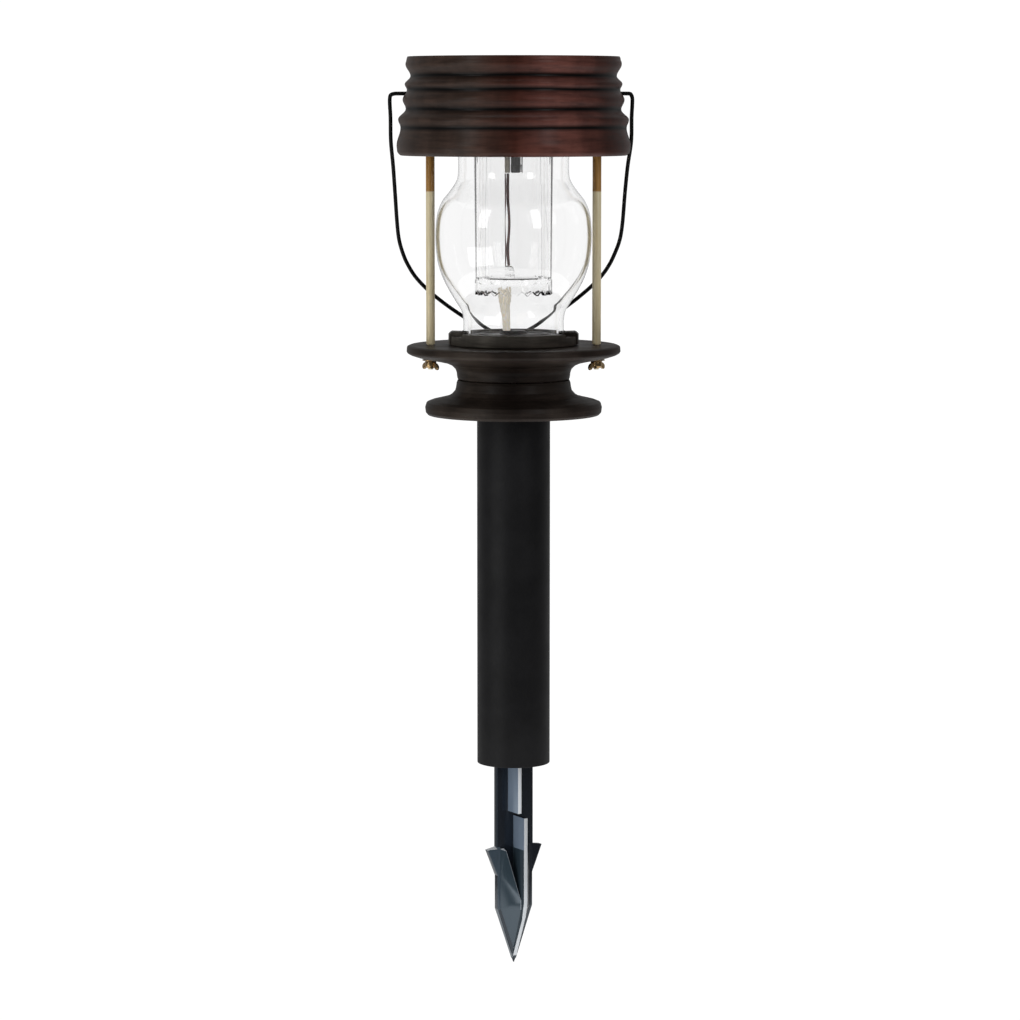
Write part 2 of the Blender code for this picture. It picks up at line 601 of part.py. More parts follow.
def make_base():
    """Two turned shells meet at the neck's seam and are screwed together from below."""
    rim = (
        (0.0, FLANGE_TOP), (49.5, FLANGE_TOP), (50.9, 201.6), (FLANGE_RADIUS, 199.0),
        (50.6, 198.3), (49.2, 197.5), (46.0, 196.4), (42.2, 195.6), (37.0, 194.6), (32.4, 193.6),
        (29.5, 192.3), (27.8, 190.6), (NECK_RADIUS, 189.0), (27.0, 187.2), (26.8, 186.0),
        (26.4, SEAM + GAP),
    )
    cavity = (
        (BASE_BORE, SEAM + GAP), (BASE_BORE, 191.6), (27.4, 194.2), (33.0, 195.8),
        (40.0, 197.0), (47.0, 198.6), (47.0, 199.4), (0.0, 199.4),
    )
    plate_piece = turned("base_plate", rim + cavity, DARK_BRONZE)
    for i in range(3):
        x, y = base_screw_place(i)
        join(plate_piece, cylinder(f"base_post_{i}", 3.1, 174.5, 200.2, DARK_BRONZE, (x, y), 12))
        cut(plate_piece, cylinder(f"base_post_hole_{i}", SCREW_SHANK + GAP, 172.9, 187.9,
                                  DARK_BRONZE, (x, y), 12))
    for side in (-1, 1):
        at = (side * ROD_X, 0.0)
        join(plate_piece, cylinder(f"rod_boss_{side}", 4.9, 196.05, 200.2, DARK_BRONZE, at))
        cut(plate_piece, cylinder(f"spot_face_{side}", 4.7, 190.0, 195.3, DARK_BRONZE, at))
        cut(plate_piece, cylinder(f"rod_bore_{side}", THREAD_RADIUS + GAP, 187.0, 207.0,
                                  DARK_BRONZE, at))

    foot = turned("base_foot", (
        (BASE_BORE, SEAM), (26.7, SEAM), (27.2, 184.2), (27.6, 181.0), (28.6, 179.5),
        (31.4, 177.5), (34.9, 176.6), (39.3, 175.6), (41.6, 174.7), (FOOT_RADIUS, 172.3),
        (42.0, 169.9), (41.0, FOOT_BOTTOM), (2.0, FOOT_BOTTOM), (2.0, 177.9), (5.5, 177.9),
        (5.5, 171.5), (BASE_BORE, 171.5),
    ), DARK_BRONZE, closed=True)
    for i in range(3):
        x, y = base_screw_place(i)
        join(foot, cylinder(f"foot_boss_{i}", 3.9, 170.9, 174.1, DARK_BRONZE, (x, y), 12))
        cut(foot, cylinder(f"foot_hole_{i}", SCREW_SHANK + GAP, 162.9, 177.9, DARK_BRONZE,
                           (x, y), 12))
        cut(foot, cylinder(f"foot_counterbore_{i}", SCREW_HEAD + GAP, 162.9, 171.3, DARK_BRONZE,
                           (x, y), 12))
        screw_piece(f"base_screw_{i + 1}", x, y, 169.0, 171.0, 184.9)


def base_screw_place(i):
    """The three screws are spaced evenly, the first one at the back."""
    angle = math.radians(90.0 + 120.0 * i)
    return BASE_SCREW_CIRCLE * math.cos(angle), BASE_SCREW_CIRCLE * math.sin(angle)


def make_adapter():
    """The plug under the base that enters the post, held by one screw."""
    top = POST_TOP
    plug_bottom = 142.9
    turned("post_adapter", (
        (2.3, top), (POST_BORE - GAP, top), (POST_BORE - GAP, plug_bottom + 1.5),
        (POST_BORE - 1.0, plug_bottom), (13.2, plug_bottom), (13.2, 164.9), (2.3, 164.9),
    ), BLACK, steps=ROUND - 4, closed=True)
    screw_piece("adapter_screw", 0.0, 0.0, 162.1, 164.6, 175.9, head_radius=4.0, shank=1.7)


# ---------------------------------------------------------------------- bail

def make_bail():
    """A wire bail hinged in the cap's sides, with a retaining ring on each end inside the cap."""
    route = [(x + shift, 0.0, -drop) for x, drop, shift in BAIL_SIDE]
    route += [(shift - x, 0.0, -drop) for x, drop, shift in reversed(BAIL_SIDE[:-1])]
    bail = wire("bail", route, WIRE_RADIUS, WIRE_BLACK, sides=2)
    bail.location = (0.0, 0.0, BAIL_AXIS * MM)
    bail.rotation_euler = (BAIL_LEAN, 0.0, 0.0)
    for side, end in ((-1, "left"), (1, "right")):
        ring = turned(f"bail_ring_{end}", (
            (WIRE_RADIUS + GAP, 0.5), (2.7, 0.5), (2.7, -0.5), (WIRE_RADIUS + GAP, -0.5),
        ), STEEL, (side * 47.4, 0.0, BAIL_AXIS), SMALL_ROUND, closed=True)
        ring.rotation_euler = (0.0, math.pi / 2.0, 0.0)


# ------------------------------------------------------------ post and spike

def make_post():
    turned("post_tube", (
        (POST_BORE, POST_TOP), (POST_RADIUS, POST_TOP), (POST_RADIUS, 0.0), (POST_BORE, 0.0),
    ), POST_BLACK, closed=True)


def make_bush():
    """A round bush inside the post's foot with a blind socket in the shape of the spike's tang."""
    bush = cylinder("end_bush", POST_BORE - GAP, BUSH_BOTTOM, BUSH_TOP, BLACK, steps=ROUND - 4,
                    turn=SPIKE_TURN)
    socket_top = TANG_TOP + GAP
    across = SHANK + GAP
    thick = BLADE / 2.0 + GAP
    under = BUSH_BOTTOM - 1.0
    cut(bush, box("socket_blade", (-across, -thick, under), (across, thick, socket_top), BLACK,
                  turn=SPIKE_TURN))
    for side in (-1, 1):
        middle = turned_point(side * RIB_OFFSET, side * RIB_REACH / 2.0)
        half_wide = FIN / 2.0 + GAP
        half_deep = RIB_REACH / 2.0 + GAP
        cut(bush, box(f"socket_rib_{side}", (middle[0] - half_wide, middle[1] - half_deep, under),
                      (middle[0] + half_wide, middle[1] + half_deep, socket_top), BLACK,
                      turn=SPIKE_TURN))


def turned_point(x, y):
    """A point of the spike's own axes, in the part's frame."""
    return (x * math.cos(SPIKE_TURN) - y * math.sin(SPIKE_TURN),
            x * math.sin(SPIKE_TURN) + y * math.cos(SPIKE_TURN))


def wedge(name, side, end):
    """One quarter of the arrowhead: a flat flank from the blade's edge to the fin's edge, cut off
    along a slope that falls from the blade's shoulder to the fin."""
    corners = (
        (9.7, 0.0, BARB_TOP), (6.6, 3.4, BARB_TOP), (6.6, 0.0, BARB_TOP), (0.8, 8.9, -67.7),
        (0.0, 0.0, -67.7), (9.7, 0.0, SHOULDER), (0.0, 9.7, SHOULDER), (0.0, 0.0, TIP + 0.6),
    )
    shape = bmesh.new()
    for x, y, z in corners:
        shape.verts.new((side * x * MM, end * y * MM, z * MM))
    bmesh.ops.convex_hull(shape, input=shape.verts)
    bmesh.ops.recalc_face_normals(shape, faces=shape.faces)
    mesh = bpy.data.meshes.new(name)
    shape.to_mesh(mesh)
    shape.free()
    return place(name, mesh, SPIKE_BLACK)


def make_spike():
    """A barbed blade with a fin across it below the notch, two staggered ribs above the notch,
    and an arrowhead of four wedges."""
    edge = (
        (SHANK, TANG_TOP), (SHANK, BARB_TOP), (15.2, BARB_TOP - 1.0), (9.8, -55.0),
        (9.8, SHOULDER), (0.0, TIP),
    )
    spike = plate("spike", edge + tuple((-x, z) for x, z in reversed(edge[:-1])), BLADE,
                  SPIKE_BLACK)
    fin_edge = ((FIN_REACH, NOTCH_BOTTOM), (FIN_REACH, -67.7), (9.8, SHOULDER - 4.0),
                (0.6, TIP + 1.6))
    fin = plate("fin", fin_edge + tuple((-x, z) for x, z in reversed(fin_edge)), FIN, SPIKE_BLACK)
    fin.rotation_euler = (0.0, 0.0, math.pi / 2.0)
    tools = [fin]
    for side in (-1, 1):
        low = (side * RIB_OFFSET - FIN / 2.0, min(0.0, side * RIB_REACH), NOTCH_TOP)
        high = (side * RIB_OFFSET + FIN / 2.0, max(0.0, side * RIB_REACH), TANG_TOP - 0.4)
        tools.append(box(f"upper_rib_{side}", low, high, SPIKE_BLACK))
        for end in (-1, 1):
            tools.append(wedge(f"wedge_{side}_{end}", side, end))
    for tool in tools:
        tool.parent = spike
        join(spike, tool)
    spike.rotation_euler = (0.0, 0.0, SPIKE_TURN)


recess_ledge = make_cap()
make_panel(recess_ledge)
make_cap_floor()
make_cap_screws()
make_battery()
make_contacts()
make_battery_door()
make_switch()
make_board()
make_leads()
make_lamp()
make_light_guide()
make_globe()
make_tie_rods()
make_wing_nuts()
make_globe_holder()
make_burner()
make_base()
make_adapter()
make_bail()
make_post()
make_bush()
make_spike()
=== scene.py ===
"""Looks for the solar garden torch: fine meshes, procedural materials, camera and soft light.

Sizes are in millimetres in the CAD's own frame: origin on the lantern's axis at the ground line,
+Z up, X through the tie rods, -Y the front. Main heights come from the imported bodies.
"""

import json
import math
import random

import bmesh
import bpy
from mathutils import Matrix, Vector, noise


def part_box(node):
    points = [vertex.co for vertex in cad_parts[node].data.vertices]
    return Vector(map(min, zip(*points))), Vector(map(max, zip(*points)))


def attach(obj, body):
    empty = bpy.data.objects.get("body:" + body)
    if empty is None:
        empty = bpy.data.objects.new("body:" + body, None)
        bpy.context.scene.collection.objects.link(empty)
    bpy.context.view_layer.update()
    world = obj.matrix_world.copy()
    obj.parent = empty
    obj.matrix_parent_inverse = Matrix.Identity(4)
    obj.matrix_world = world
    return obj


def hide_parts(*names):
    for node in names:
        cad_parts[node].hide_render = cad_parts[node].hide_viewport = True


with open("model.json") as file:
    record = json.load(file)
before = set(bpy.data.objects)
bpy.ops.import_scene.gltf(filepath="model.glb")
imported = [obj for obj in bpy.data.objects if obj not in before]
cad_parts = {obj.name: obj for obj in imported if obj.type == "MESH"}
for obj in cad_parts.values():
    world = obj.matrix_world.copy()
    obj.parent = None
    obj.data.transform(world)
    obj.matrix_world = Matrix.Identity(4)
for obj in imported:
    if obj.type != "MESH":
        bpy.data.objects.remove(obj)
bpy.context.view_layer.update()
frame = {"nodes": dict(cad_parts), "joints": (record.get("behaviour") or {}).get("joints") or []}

MM = 0.001
FULL = 2.0 * math.pi
FINE = 192                     # facets round a large turned piece
SMALL = 48                     # facets round a rod, a screw or a washer


def extent(node):
    """A CAD node's lowest and highest corner at rest, in millimetres."""
    low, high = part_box(node)
    return [value / MM for value in low], [value / MM for value in high]


def middle_of(node):
    low, high = extent(node)
    return [(a + b) / 2.0 for a, b in zip(low, high)]


CAP_LOW, CAP_HIGH = extent("cap_shell")
CAP_BOTTOM = CAP_LOW[2]
CAP_TOP = CAP_HIGH[2]
PANEL_LOW, PANEL_HIGH = extent("solar_panel")
FLOOR_BOTTOM = extent("cap_floor")[0][2]
FLANGE_TOP = extent("base_plate")[1][2]
SEAM = extent("base_foot")[1][2]
FOOT_BOTTOM = extent("base_foot")[0][2]
POST_TOP = extent("post_tube")[1][2]
TIP = extent("spike")[0][2]
ROD_LOW, ROD_HIGH = extent("tie_rod_right")
ROD_X = (ROD_LOW[0] + ROD_HIGH[0]) / 2.0
GUIDE_FOOT = extent("light_guide")[0][2]
GUIDE_TOP = extent("light_guide")[1][2]
GLOBE_BOTTOM = extent("globe")[0][2]
GLOBE_TOP = extent("globe")[1][2]
SWITCH = middle_of("switch_button")
BAIL_AXIS = next(j["pos_m"][2] for j in frame["joints"] if j["name"] == "bail_swing") / MM


# ---------------------------------------------------------------- node helpers

class Shader:
    """A Principled material and short ways to add nodes to it."""

    def __init__(self, name, roughness=0.5, metallic=0.0, colour=(0.5, 0.5, 0.5)):
        self.material = bpy.data.materials.new(name)
        self.material.use_nodes = True
        self.nodes = self.material.node_tree.nodes
        self.links = self.material.node_tree.links
        self.base = self.nodes["Principled BSDF"]
        self.set("Roughness", roughness)
        self.set("Metallic", metallic)
        self.set("Base Color", (*colour, 1.0))
        self.place = self.nodes.new("ShaderNodeTexCoord").outputs["Object"]

    def set(self, socket, value):
        self.base.inputs[socket].default_value = value

    def link(self, source, target):
        if isinstance(target, str):
            target = self.base.inputs[target]
        self.links.new(source, target)

    def stretched(self, scale):
        """Object coordinates scaled on each axis."""
        mapping = self.nodes.new("ShaderNodeMapping")
        mapping.inputs["Scale"].default_value = scale
        self.link(self.place, mapping.inputs["Vector"])
        return mapping.outputs["Vector"]

    def noise(self, scale, detail=4.0, rough=0.55, stretch=None):
        texture = self.nodes.new("ShaderNodeTexNoise")
        texture.inputs["Scale"].default_value = scale
        texture.inputs["Detail"].default_value = detail
        texture.inputs["Roughness"].default_value = rough
        self.link(self.stretched(stretch) if stretch else self.place, texture.inputs["Vector"])
        return texture.outputs["Fac"]

    def ramp(self, factor, stops):
        """A colour ramp; each stop is a position and a colour or a grey value."""
        ramp = self.nodes.new("ShaderNodeValToRGB")
        elements = ramp.color_ramp.elements
        while len(elements) < len(stops):
            elements.new(0.5)
        for element, (position, colour) in zip(elements, stops):
            element.position = position
            tone = colour if isinstance(colour, tuple) else (colour, colour, colour)
            element.color = (*tone, 1.0)
        self.link(factor, ramp.inputs["Fac"])
        return ramp.outputs["Color"]

    def mix(self, factor, a, b, kind="MIX"):
        """Mix two colours; each is a socket or a tuple, and the factor a socket or a number."""
        mixer = self.nodes.new("ShaderNodeMix")
        mixer.data_type = "RGBA"
        mixer.blend_type = kind
        for socket, value in ((mixer.inputs["Factor"], factor), (mixer.inputs["A"], a),
                              (mixer.inputs["B"], b)):
            if isinstance(value, bpy.types.NodeSocket):
                self.link(value, socket)
            elif isinstance(value, tuple):
                socket.default_value = (*value, 1.0)
            else:
                socket.default_value = value
        return mixer.outputs["Result"]

    def range(self, value, low, high, to_low, to_high):
        mapper = self.nodes.new("ShaderNodeMapRange")
        mapper.inputs["From Min"].default_value = low
        mapper.inputs["From Max"].default_value = high
        mapper.inputs["To Min"].default_value = to_low
        mapper.inputs["To Max"].default_value = to_high
        self.link(value, mapper.inputs["Value"])
        return mapper.outputs["Result"]

    def axis(self, letter):
        """One of the object coordinates, in metres."""
        split = self.nodes.new("ShaderNodeSeparateXYZ")
        self.link(self.place, split.inputs["Vector"])
        return split.outputs[letter]

    def mottled(self, marks, low, high, a, b):
        """Colour a where a noise is under low, b where it is over high, and between them a mix."""
        return self.mix(self.ramp(marks, ((low, 0.0), (high, 1.0))), a, b)

    def vary_roughness(self, marks, low, high):
        self.link(self.range(marks, 0.3, 0.7, low, high), "Roughness")

    def relief(self):
        """The turned pieces' own attribute: 0 in a groove, 1 away from all grooves."""
        attribute = self.nodes.new("ShaderNodeAttribute")
        attribute.attribute_name = "relief"
        return attribute.outputs["Fac"]

    def bump(self, height, distance, strength=1.0):
        bump = self.nodes.new("ShaderNodeBump")
        bump.inputs["Strength"].default_value = strength
        bump.inputs["Distance"].default_value = distance * MM
        self.link(height, bump.inputs["Height"])
        self.link(bump.outputs["Normal"], "Normal")


# ------------------------------------------------------------------- materials

def bronze_painted_shading(name, dark, lit_and_shaded_tones, coat):
    """Dark moulded plastic, brown, with darker streaks, painted shade in the grooves and painted light
    across X: lighter where the lamps catch a side, darker where it is shaded. The colours follow one
    another from left to right, and each has its place in millimetres."""
    shader = Shader(name, roughness=0.45)
    streaks = shader.noise(60.0, 6.0, 0.65, stretch=(1.0, 1.0, 9.0))
    uprights = shader.noise(90.0, 3.0, 0.5, stretch=(1.0, 1.0, 0.12))
    patches = shader.noise(22.0, 3.0, 0.5)
    wander = shader.nodes.new("ShaderNodeMath")
    wander.operation = "MULTIPLY_ADD"
    wander.inputs[1].default_value = 0.016
    shader.link(patches, wander.inputs[0])
    shader.link(shader.axis("X"), wander.inputs[2])
    across = shader.range(wander.outputs["Value"], -0.052, 0.068, 0.0, 1.0)
    # Painted light: colours placed across X stand in for lamp highlights and shade on each side.
    tone = shader.ramp(across, [((place_x + 60.0) / 120.0, colour) for place_x, colour in lit_and_shaded_tones])
    tone = shader.mix(shader.ramp(uprights, ((0.35, 0.35), (0.6, 0.0))), tone, dark)
    tone = shader.mix(shader.ramp(streaks, ((0.3, 0.5), (0.6, 0.0))), tone, dark)
    # Painted shade: the grooves go dark where shade falls between the ribs.
    depth = shader.ramp(shader.relief(), ((0.1, 0.0), (0.75, 1.0)))
    shader.link(shader.mix(depth, dark, tone), "Base Color")
    shader.vary_roughness(streaks, 0.38, 0.55)
    shader.set("Specular IOR Level", 0.1)
    shader.set("Coat Weight", coat)
    shader.set("Coat Roughness", 0.22)
    shader.bump(shader.noise(900.0, 3.0), 0.05, 0.35)
    return shader.material


def moulded_black(name, colour, roughness, grain=1400.0, specular=0.35):
    """Moulded plastic or paint with a fine grain."""
    shader = Shader(name, roughness=roughness)
    tint = shader.noise(35.0, 4.0)
    lighter = tuple(value * 1.5 + 0.002 for value in colour)
    shader.link(shader.mottled(tint, 0.4, 0.65, colour, lighter), "Base Color")
    shader.vary_roughness(shader.noise(120.0, 5.0), roughness - 0.05, roughness + 0.07)
    shader.set("Specular IOR Level", specular)
    shader.bump(shader.noise(grain, 2.0), 0.03, 0.3)
    return shader.material


def metal(name, colour, roughness, brushed=(1.0, 1.0, 1.0), scale=260.0):
    shader = Shader(name, roughness=roughness, metallic=1.0)
    marks = shader.noise(scale, 5.0, 0.6, stretch=brushed)
    wear_and_painted_sheen = tuple(value * 0.72 for value in colour)
    shader.link(shader.mottled(marks, 0.35, 0.7, wear_and_painted_sheen, colour), "Base Color")
    shader.vary_roughness(marks, roughness - 0.06, roughness + 0.1)
    shader.bump(marks, 0.02, 0.25)
    return shader.material


def rod_brass():
    """Pale brass rod whose upper end, above ROD_TONE_EDGE, is a darker gold."""
    shader = Shader("tie_rod_brass", roughness=0.4, metallic=0.05)
    height = shader.axis("Z")
    edge = shader.range(height, (ROD_TONE_EDGE - 0.4) * MM, (ROD_TONE_EDGE + 0.4) * MM, 0.0, 1.0)
    marks = shader.noise(300.0, 4.0, 0.6, stretch=(3.0, 3.0, 0.15))
    pale = shader.mottled(marks, 0.35, 0.65, (0.92, 0.76, 0.45), (0.99, 0.88, 0.60))
    golden = shader.mottled(marks, 0.35, 0.65, (0.36, 0.17, 0.035), (0.56, 0.29, 0.075))
    shader.link(shader.mix(edge, pale, golden), "Base Color")
    shader.vary_roughness(marks, 0.26, 0.42)
    shader.bump(marks, 0.02, 0.2)
    return shader.material


def clear(name, roughness, ior, tint):
    """Glass or clear plastic, with a faint waviness."""
    shader = Shader(name, roughness=roughness, colour=tint)
    shader.set("Transmission Weight", 1.0)
    shader.set("IOR", ior)
    shader.bump(shader.noise(28.0, 2.0), 0.25, 0.12)
    return shader.material


def cotton():
    """Cotton wick, cream with brown scorched hollows, and a faint painted glow that stands in for light the
    glass keeps from it.
    """
    shader = Shader("wick_cotton", roughness=0.9)
    fibre = shader.noise(900.0, 6.0, 0.7, stretch=(1.0, 1.0, 0.35))
    blotch = shader.noise(260.0, 3.0)
    cream = shader.mottled(fibre, 0.35, 0.6, (0.72, 0.62, 0.44), (0.96, 0.94, 0.88))
    shader.link(shader.mix(shader.ramp(blotch, ((0.54, 0.0), (0.70, 0.6))), cream,
                           (0.24, 0.15, 0.07)), "Base Color")
    shader.set("Sheen Weight", 0.3)
    # Painted light: a faint glow, though the wick is no lamp.
    shader.set("Emission Color", (1.0, 0.93, 0.80, 1.0))
    shader.set("Emission Strength", 0.3)
    shader.bump(fibre, 0.3, 0.8)
    return shader.material


def panel_face():
    """Blue-black silicon with fine crystal grain under a smooth clear coat."""
    shader = Shader("solar_cell_face", roughness=0.3)
    crystal = shader.nodes.new("ShaderNodeTexVoronoi")
    crystal.inputs["Scale"].default_value = 210.0
    shader.link(shader.stretched((1.0, 0.5, 1.0)), crystal.inputs["Vector"])
    grain = shader.ramp(crystal.outputs["Color"], ((0.2, (0.004, 0.006, 0.022)),
                                                   (0.8, (0.012, 0.020, 0.065))))
    shader.link(grain, "Base Color")
    shader.set("Coat Weight", 0.9)
    shader.set("Coat Roughness", 0.06)
    return shader.material


def spike_plastic():
    """Glossy blue-black moulding with soft mould flow marks, and painted highlights and painted sheen on
    its edges and side faces.
    """
    shader = Shader("glossy_spike_plastic", roughness=0.2)
    flow = shader.noise(45.0, 4.0, 0.5, stretch=(1.0, 1.0, 0.4))
    tone = shader.mottled(flow, 0.35, 0.7, (0.004, 0.005, 0.009), (0.008, 0.011, 0.018))
    # Painted highlights and painted sheen, set per face by the spike's attribute.
    wear_and_painted_sheen = shader.nodes.new("ShaderNodeAttribute")
    wear_and_painted_sheen.attribute_name = "wear_and_painted_sheen"
    painted_sheen_colour = shader.ramp(wear_and_painted_sheen.outputs["Fac"], ((0.1, (0.02, 0.03, 0.04)), (0.25, (0.032, 0.052, 0.068)),
                                               (0.5, (0.17, 0.22, 0.29)), (1.0, (0.86, 0.89, 0.92))))
    shader.link(shader.mix(shader.range(wear_and_painted_sheen.outputs["Fac"], 0.0, 0.1, 0.0, 1.0), tone, painted_sheen_colour),
                "Base Color")
    shader.vary_roughness(flow, 0.14, 0.26)
    shader.set("Specular IOR Level", 0.9)
    shader.set("Specular Tint", (0.80, 0.90, 1.0, 1.0))
    shader.bump(shader.noise(70.0, 3.0), 0.12, 0.25)
    return shader.material


def board_green():
    shader = Shader("circuit_laminate", roughness=0.45)
    traces = shader.noise(420.0, 1.0, stretch=(1.0, 3.0, 1.0))
    shader.link(shader.ramp(traces, ((0.48, (0.01, 0.09, 0.04)), (0.52, (0.02, 0.16, 0.07)))),
                "Base Color")
    return shader.material


def wrap_green():
    shader = Shader("battery_wrap", roughness=0.3)
    band = shader.range(shader.axis("X"), 0.008, 0.0084, 0.0, 1.0)
    shader.link(shader.mix(band, (0.02, 0.16, 0.08), (0.6, 0.6, 0.58)), "Base Color")
    shader.bump(shader.noise(160.0), 0.05, 0.2)
    return shader.material


def insulation(name, colour):
    shader = Shader(name, roughness=0.45)
    shade = tuple(value * 0.7 for value in colour)
    shader.link(shader.mix(shader.noise(500.0), shade, colour), "Base Color")
    return shader.material


ROD_TONE_EDGE = 275.0          # the golden end of a tie rod starts above this height

# Painted light on the cap: a painted highlight 17 to 31 mm right of the middle, painted shade at the middle
# and far right.
CAP_FINISH = bronze_painted_shading("cap_bronze_painted_shading", (0.0012, 0.0010, 0.0010), (
    (-50.0, (0.062, 0.040, 0.031)), (-20.0, (0.078, 0.046, 0.034)), (0.0, (0.078, 0.023, 0.015)),
    (17.0, (0.190, 0.068, 0.053)), (31.0, (0.190, 0.068, 0.053)), (42.0, (0.062, 0.018, 0.012)),
    (55.0, (0.046, 0.013, 0.009))), 0.12)
# Painted light on the base: lighter 20 mm either side, painted shade at the middle and the outer sides.
BASE_FINISH = bronze_painted_shading("base_dark_brown", (0.0012, 0.0010, 0.0010), (
    (-45.0, (0.030, 0.021, 0.016)), (-20.0, (0.056, 0.043, 0.034)), (0.0, (0.023, 0.016, 0.013)),
    (20.0, (0.054, 0.041, 0.034)), (45.0, (0.018, 0.008, 0.005))), 0.03)
# Painted light on the collar: much lighter 20 mm left, a painted highlight that also lifts the shade under
# the cap.
COLLAR_FINISH = bronze_painted_shading("collar_brown_painted_shading", (0.0012, 0.0010, 0.0010), (
    (-45.0, (0.050, 0.035, 0.028)), (-20.0, (0.190, 0.172, 0.145)), (0.0, (0.095, 0.084, 0.070)),
    (20.0, (0.095, 0.080, 0.066)), (45.0, (0.045, 0.028, 0.020))), 0.03)
POST_FINISH = moulded_black("post_black_paint", (0.0075, 0.0075, 0.0082), 0.46, specular=0.14)
BLACK_FINISH = moulded_black("black_plastic", (0.012, 0.012, 0.012), 0.48)
WIRE_FINISH = moulded_black("bail_black_coat", (0.0015, 0.0015, 0.0015), 0.4, specular=0.12)
RUBBER_FINISH = moulded_black("seal_rubber", (0.02, 0.02, 0.02), 0.75, grain=2600.0, specular=0.2)
SPIKE_FINISH = spike_plastic()
BRASS_FINISH = metal("wing_nut_brass", (0.50, 0.34, 0.17), 0.2)
ROD_FINISH = rod_brass()
STEEL_FINISH = metal("zinc_plated_steel", (0.62, 0.62, 0.60), 0.3)
GLASS_FINISH = clear("globe_clear_glass", 0.0, 1.47, (1.0, 1.0, 1.0))
GUIDE_FINISH = clear("guide_clear_plastic", 0.03, 1.45, (0.99, 0.99, 0.99))
WICK_FINISH = cotton()
CELL_FINISH = panel_face()
SILVER_FINISH = metal("cell_contact_silver", (0.75, 0.75, 0.76), 0.35)
BOARD_FINISH = board_green()
WRAP_FINISH = wrap_green()
CREAM_FINISH = insulation("cream_sleeve", (0.72, 0.64, 0.50))
RED_FINISH = insulation("lead_dark_red", (0.11, 0.022, 0.016))
LEAD_BLACK_FINISH = insulation("lead_black", (0.012, 0.012, 0.012))


# ------------------------------------------------------------- shape helpers

def place(name, mesh, finish, body, replaced=(), sharp=38.0):
    """Make a shown piece: smooth shading with sharp edges, its finish and what it stands for."""
    mesh.name = name
    mesh.materials.clear()
    mesh.materials.append(finish)
    mesh.shade_smooth()
    mesh.set_sharp_from_angle(angle=math.radians(sharp))
    made = bpy.data.objects.new(name, mesh)
    bpy.context.scene.collection.objects.link(made)
    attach(made, body)
    if replaced:
        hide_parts(*replaced)
    return made


def rounded(points, radius=0.5, steps=4, closed=False):
    """Replace each corner of an outline by a short arc; a third value is a corner's own radius."""
    made = []
    count = len(points)
    for i, point in enumerate(points):
        if not closed and i in (0, count - 1):
            made.append(tuple(point[:2]))
            continue
        corner = Vector(point[:2])
        before = Vector(points[i - 1][:2]) - corner
        after = Vector(points[(i + 1) % count][:2]) - corner
        own = point[2] if len(point) > 2 else radius
        reach = own / math.tan(max(before.angle(after), 0.02) / 2.0)
        reach = min(reach, 0.46 * before.length, 0.46 * after.length)
        start = corner + before.normalized() * reach
        end = corner + after.normalized() * reach
        for k in range(steps + 1):
            t = k / steps
            spot = (1 - t) ** 2 * start + 2 * t * (1 - t) * corner + t * t * end
            made.append((spot.x, spot.y))
    return made


def waves(keys, steps):
    """Half waves between crests and grooves."""
    outline = []
    for (r0, z0), (r1, z1) in zip(keys, keys[1:]):
        for i in range(steps):
            part = i / steps
            ease = (1.0 - math.cos(math.pi * part)) / 2.0
            outline.append((r0 + (r1 - r0) * ease, z0 + (z1 - z0) * part))
    outline.append(keys[-1])
    return outline


def smooth_path(points, steps):
    """A Catmull-Rom curve through points of any dimension."""
    ends = [points[0]] + list(points) + [points[-1]]
    path = []
    for i in range(1, len(ends) - 2):
        group = ends[i - 1:i + 3]
        for k in range(steps):
            t = k / steps
            path.append(tuple(
                0.5 * (2 * q + (r - p) * t + (2 * p - 5 * q + 4 * r - s) * t * t
                       + (3 * q - p - 3 * r + s) * t ** 3)
                for p, q, r, s in zip(*group)
            ))
    path.append(tuple(points[-1]))
    return path


def offset(outline, distance):
    """An outline moved sideways by its own normals, to the left of its direction."""
    moved = []
    for i, (r, z) in enumerate(outline):
        before = outline[max(i - 1, 0)]
        after = outline[min(i + 1, len(outline) - 1)]
        along = Vector((after[0] - before[0], after[1] - before[1])).normalized()
        moved.append((r + along.y * distance, z - along.x * distance))
    return moved


def relief_of(outline, grooves, reach=2.4):
    """0 in a groove, up to 1 away from all grooves; grooves are heights."""
    return [min([1.0] + [abs(z - groove) / reach for groove in grooves]) for r, z in outline]


def round_point(radius, angle, z, at=(0.0, 0.0)):
    """A place in metres, from a radius, an angle and a height."""
    return ((at[0] + radius * math.cos(angle)) * MM, (at[1] + radius * math.sin(angle)) * MM, z * MM)


def ring_of(shape, radius, z, steps):
    """A ring of vertices, or a single one on the axis."""
    count = 1 if radius < 1e-6 else steps
    return [shape.verts.new(round_point(radius, FULL * i / steps, z)) for i in range(count)]


def bridge(shape, upper, lower, steps):
    """Faces between two rings; a ring of one vertex makes a fan."""
    if len(upper) == 1 and len(lower) == 1:
        return
    for i in range(steps):
        j = (i + 1) % steps
        if len(upper) == 1:
            shape.faces.new((upper[0], lower[i], lower[j]))
        elif len(lower) == 1:
            shape.faces.new((upper[i], lower[0], upper[j]))
        else:
            shape.faces.new((upper[i], lower[i], lower[j], upper[j]))


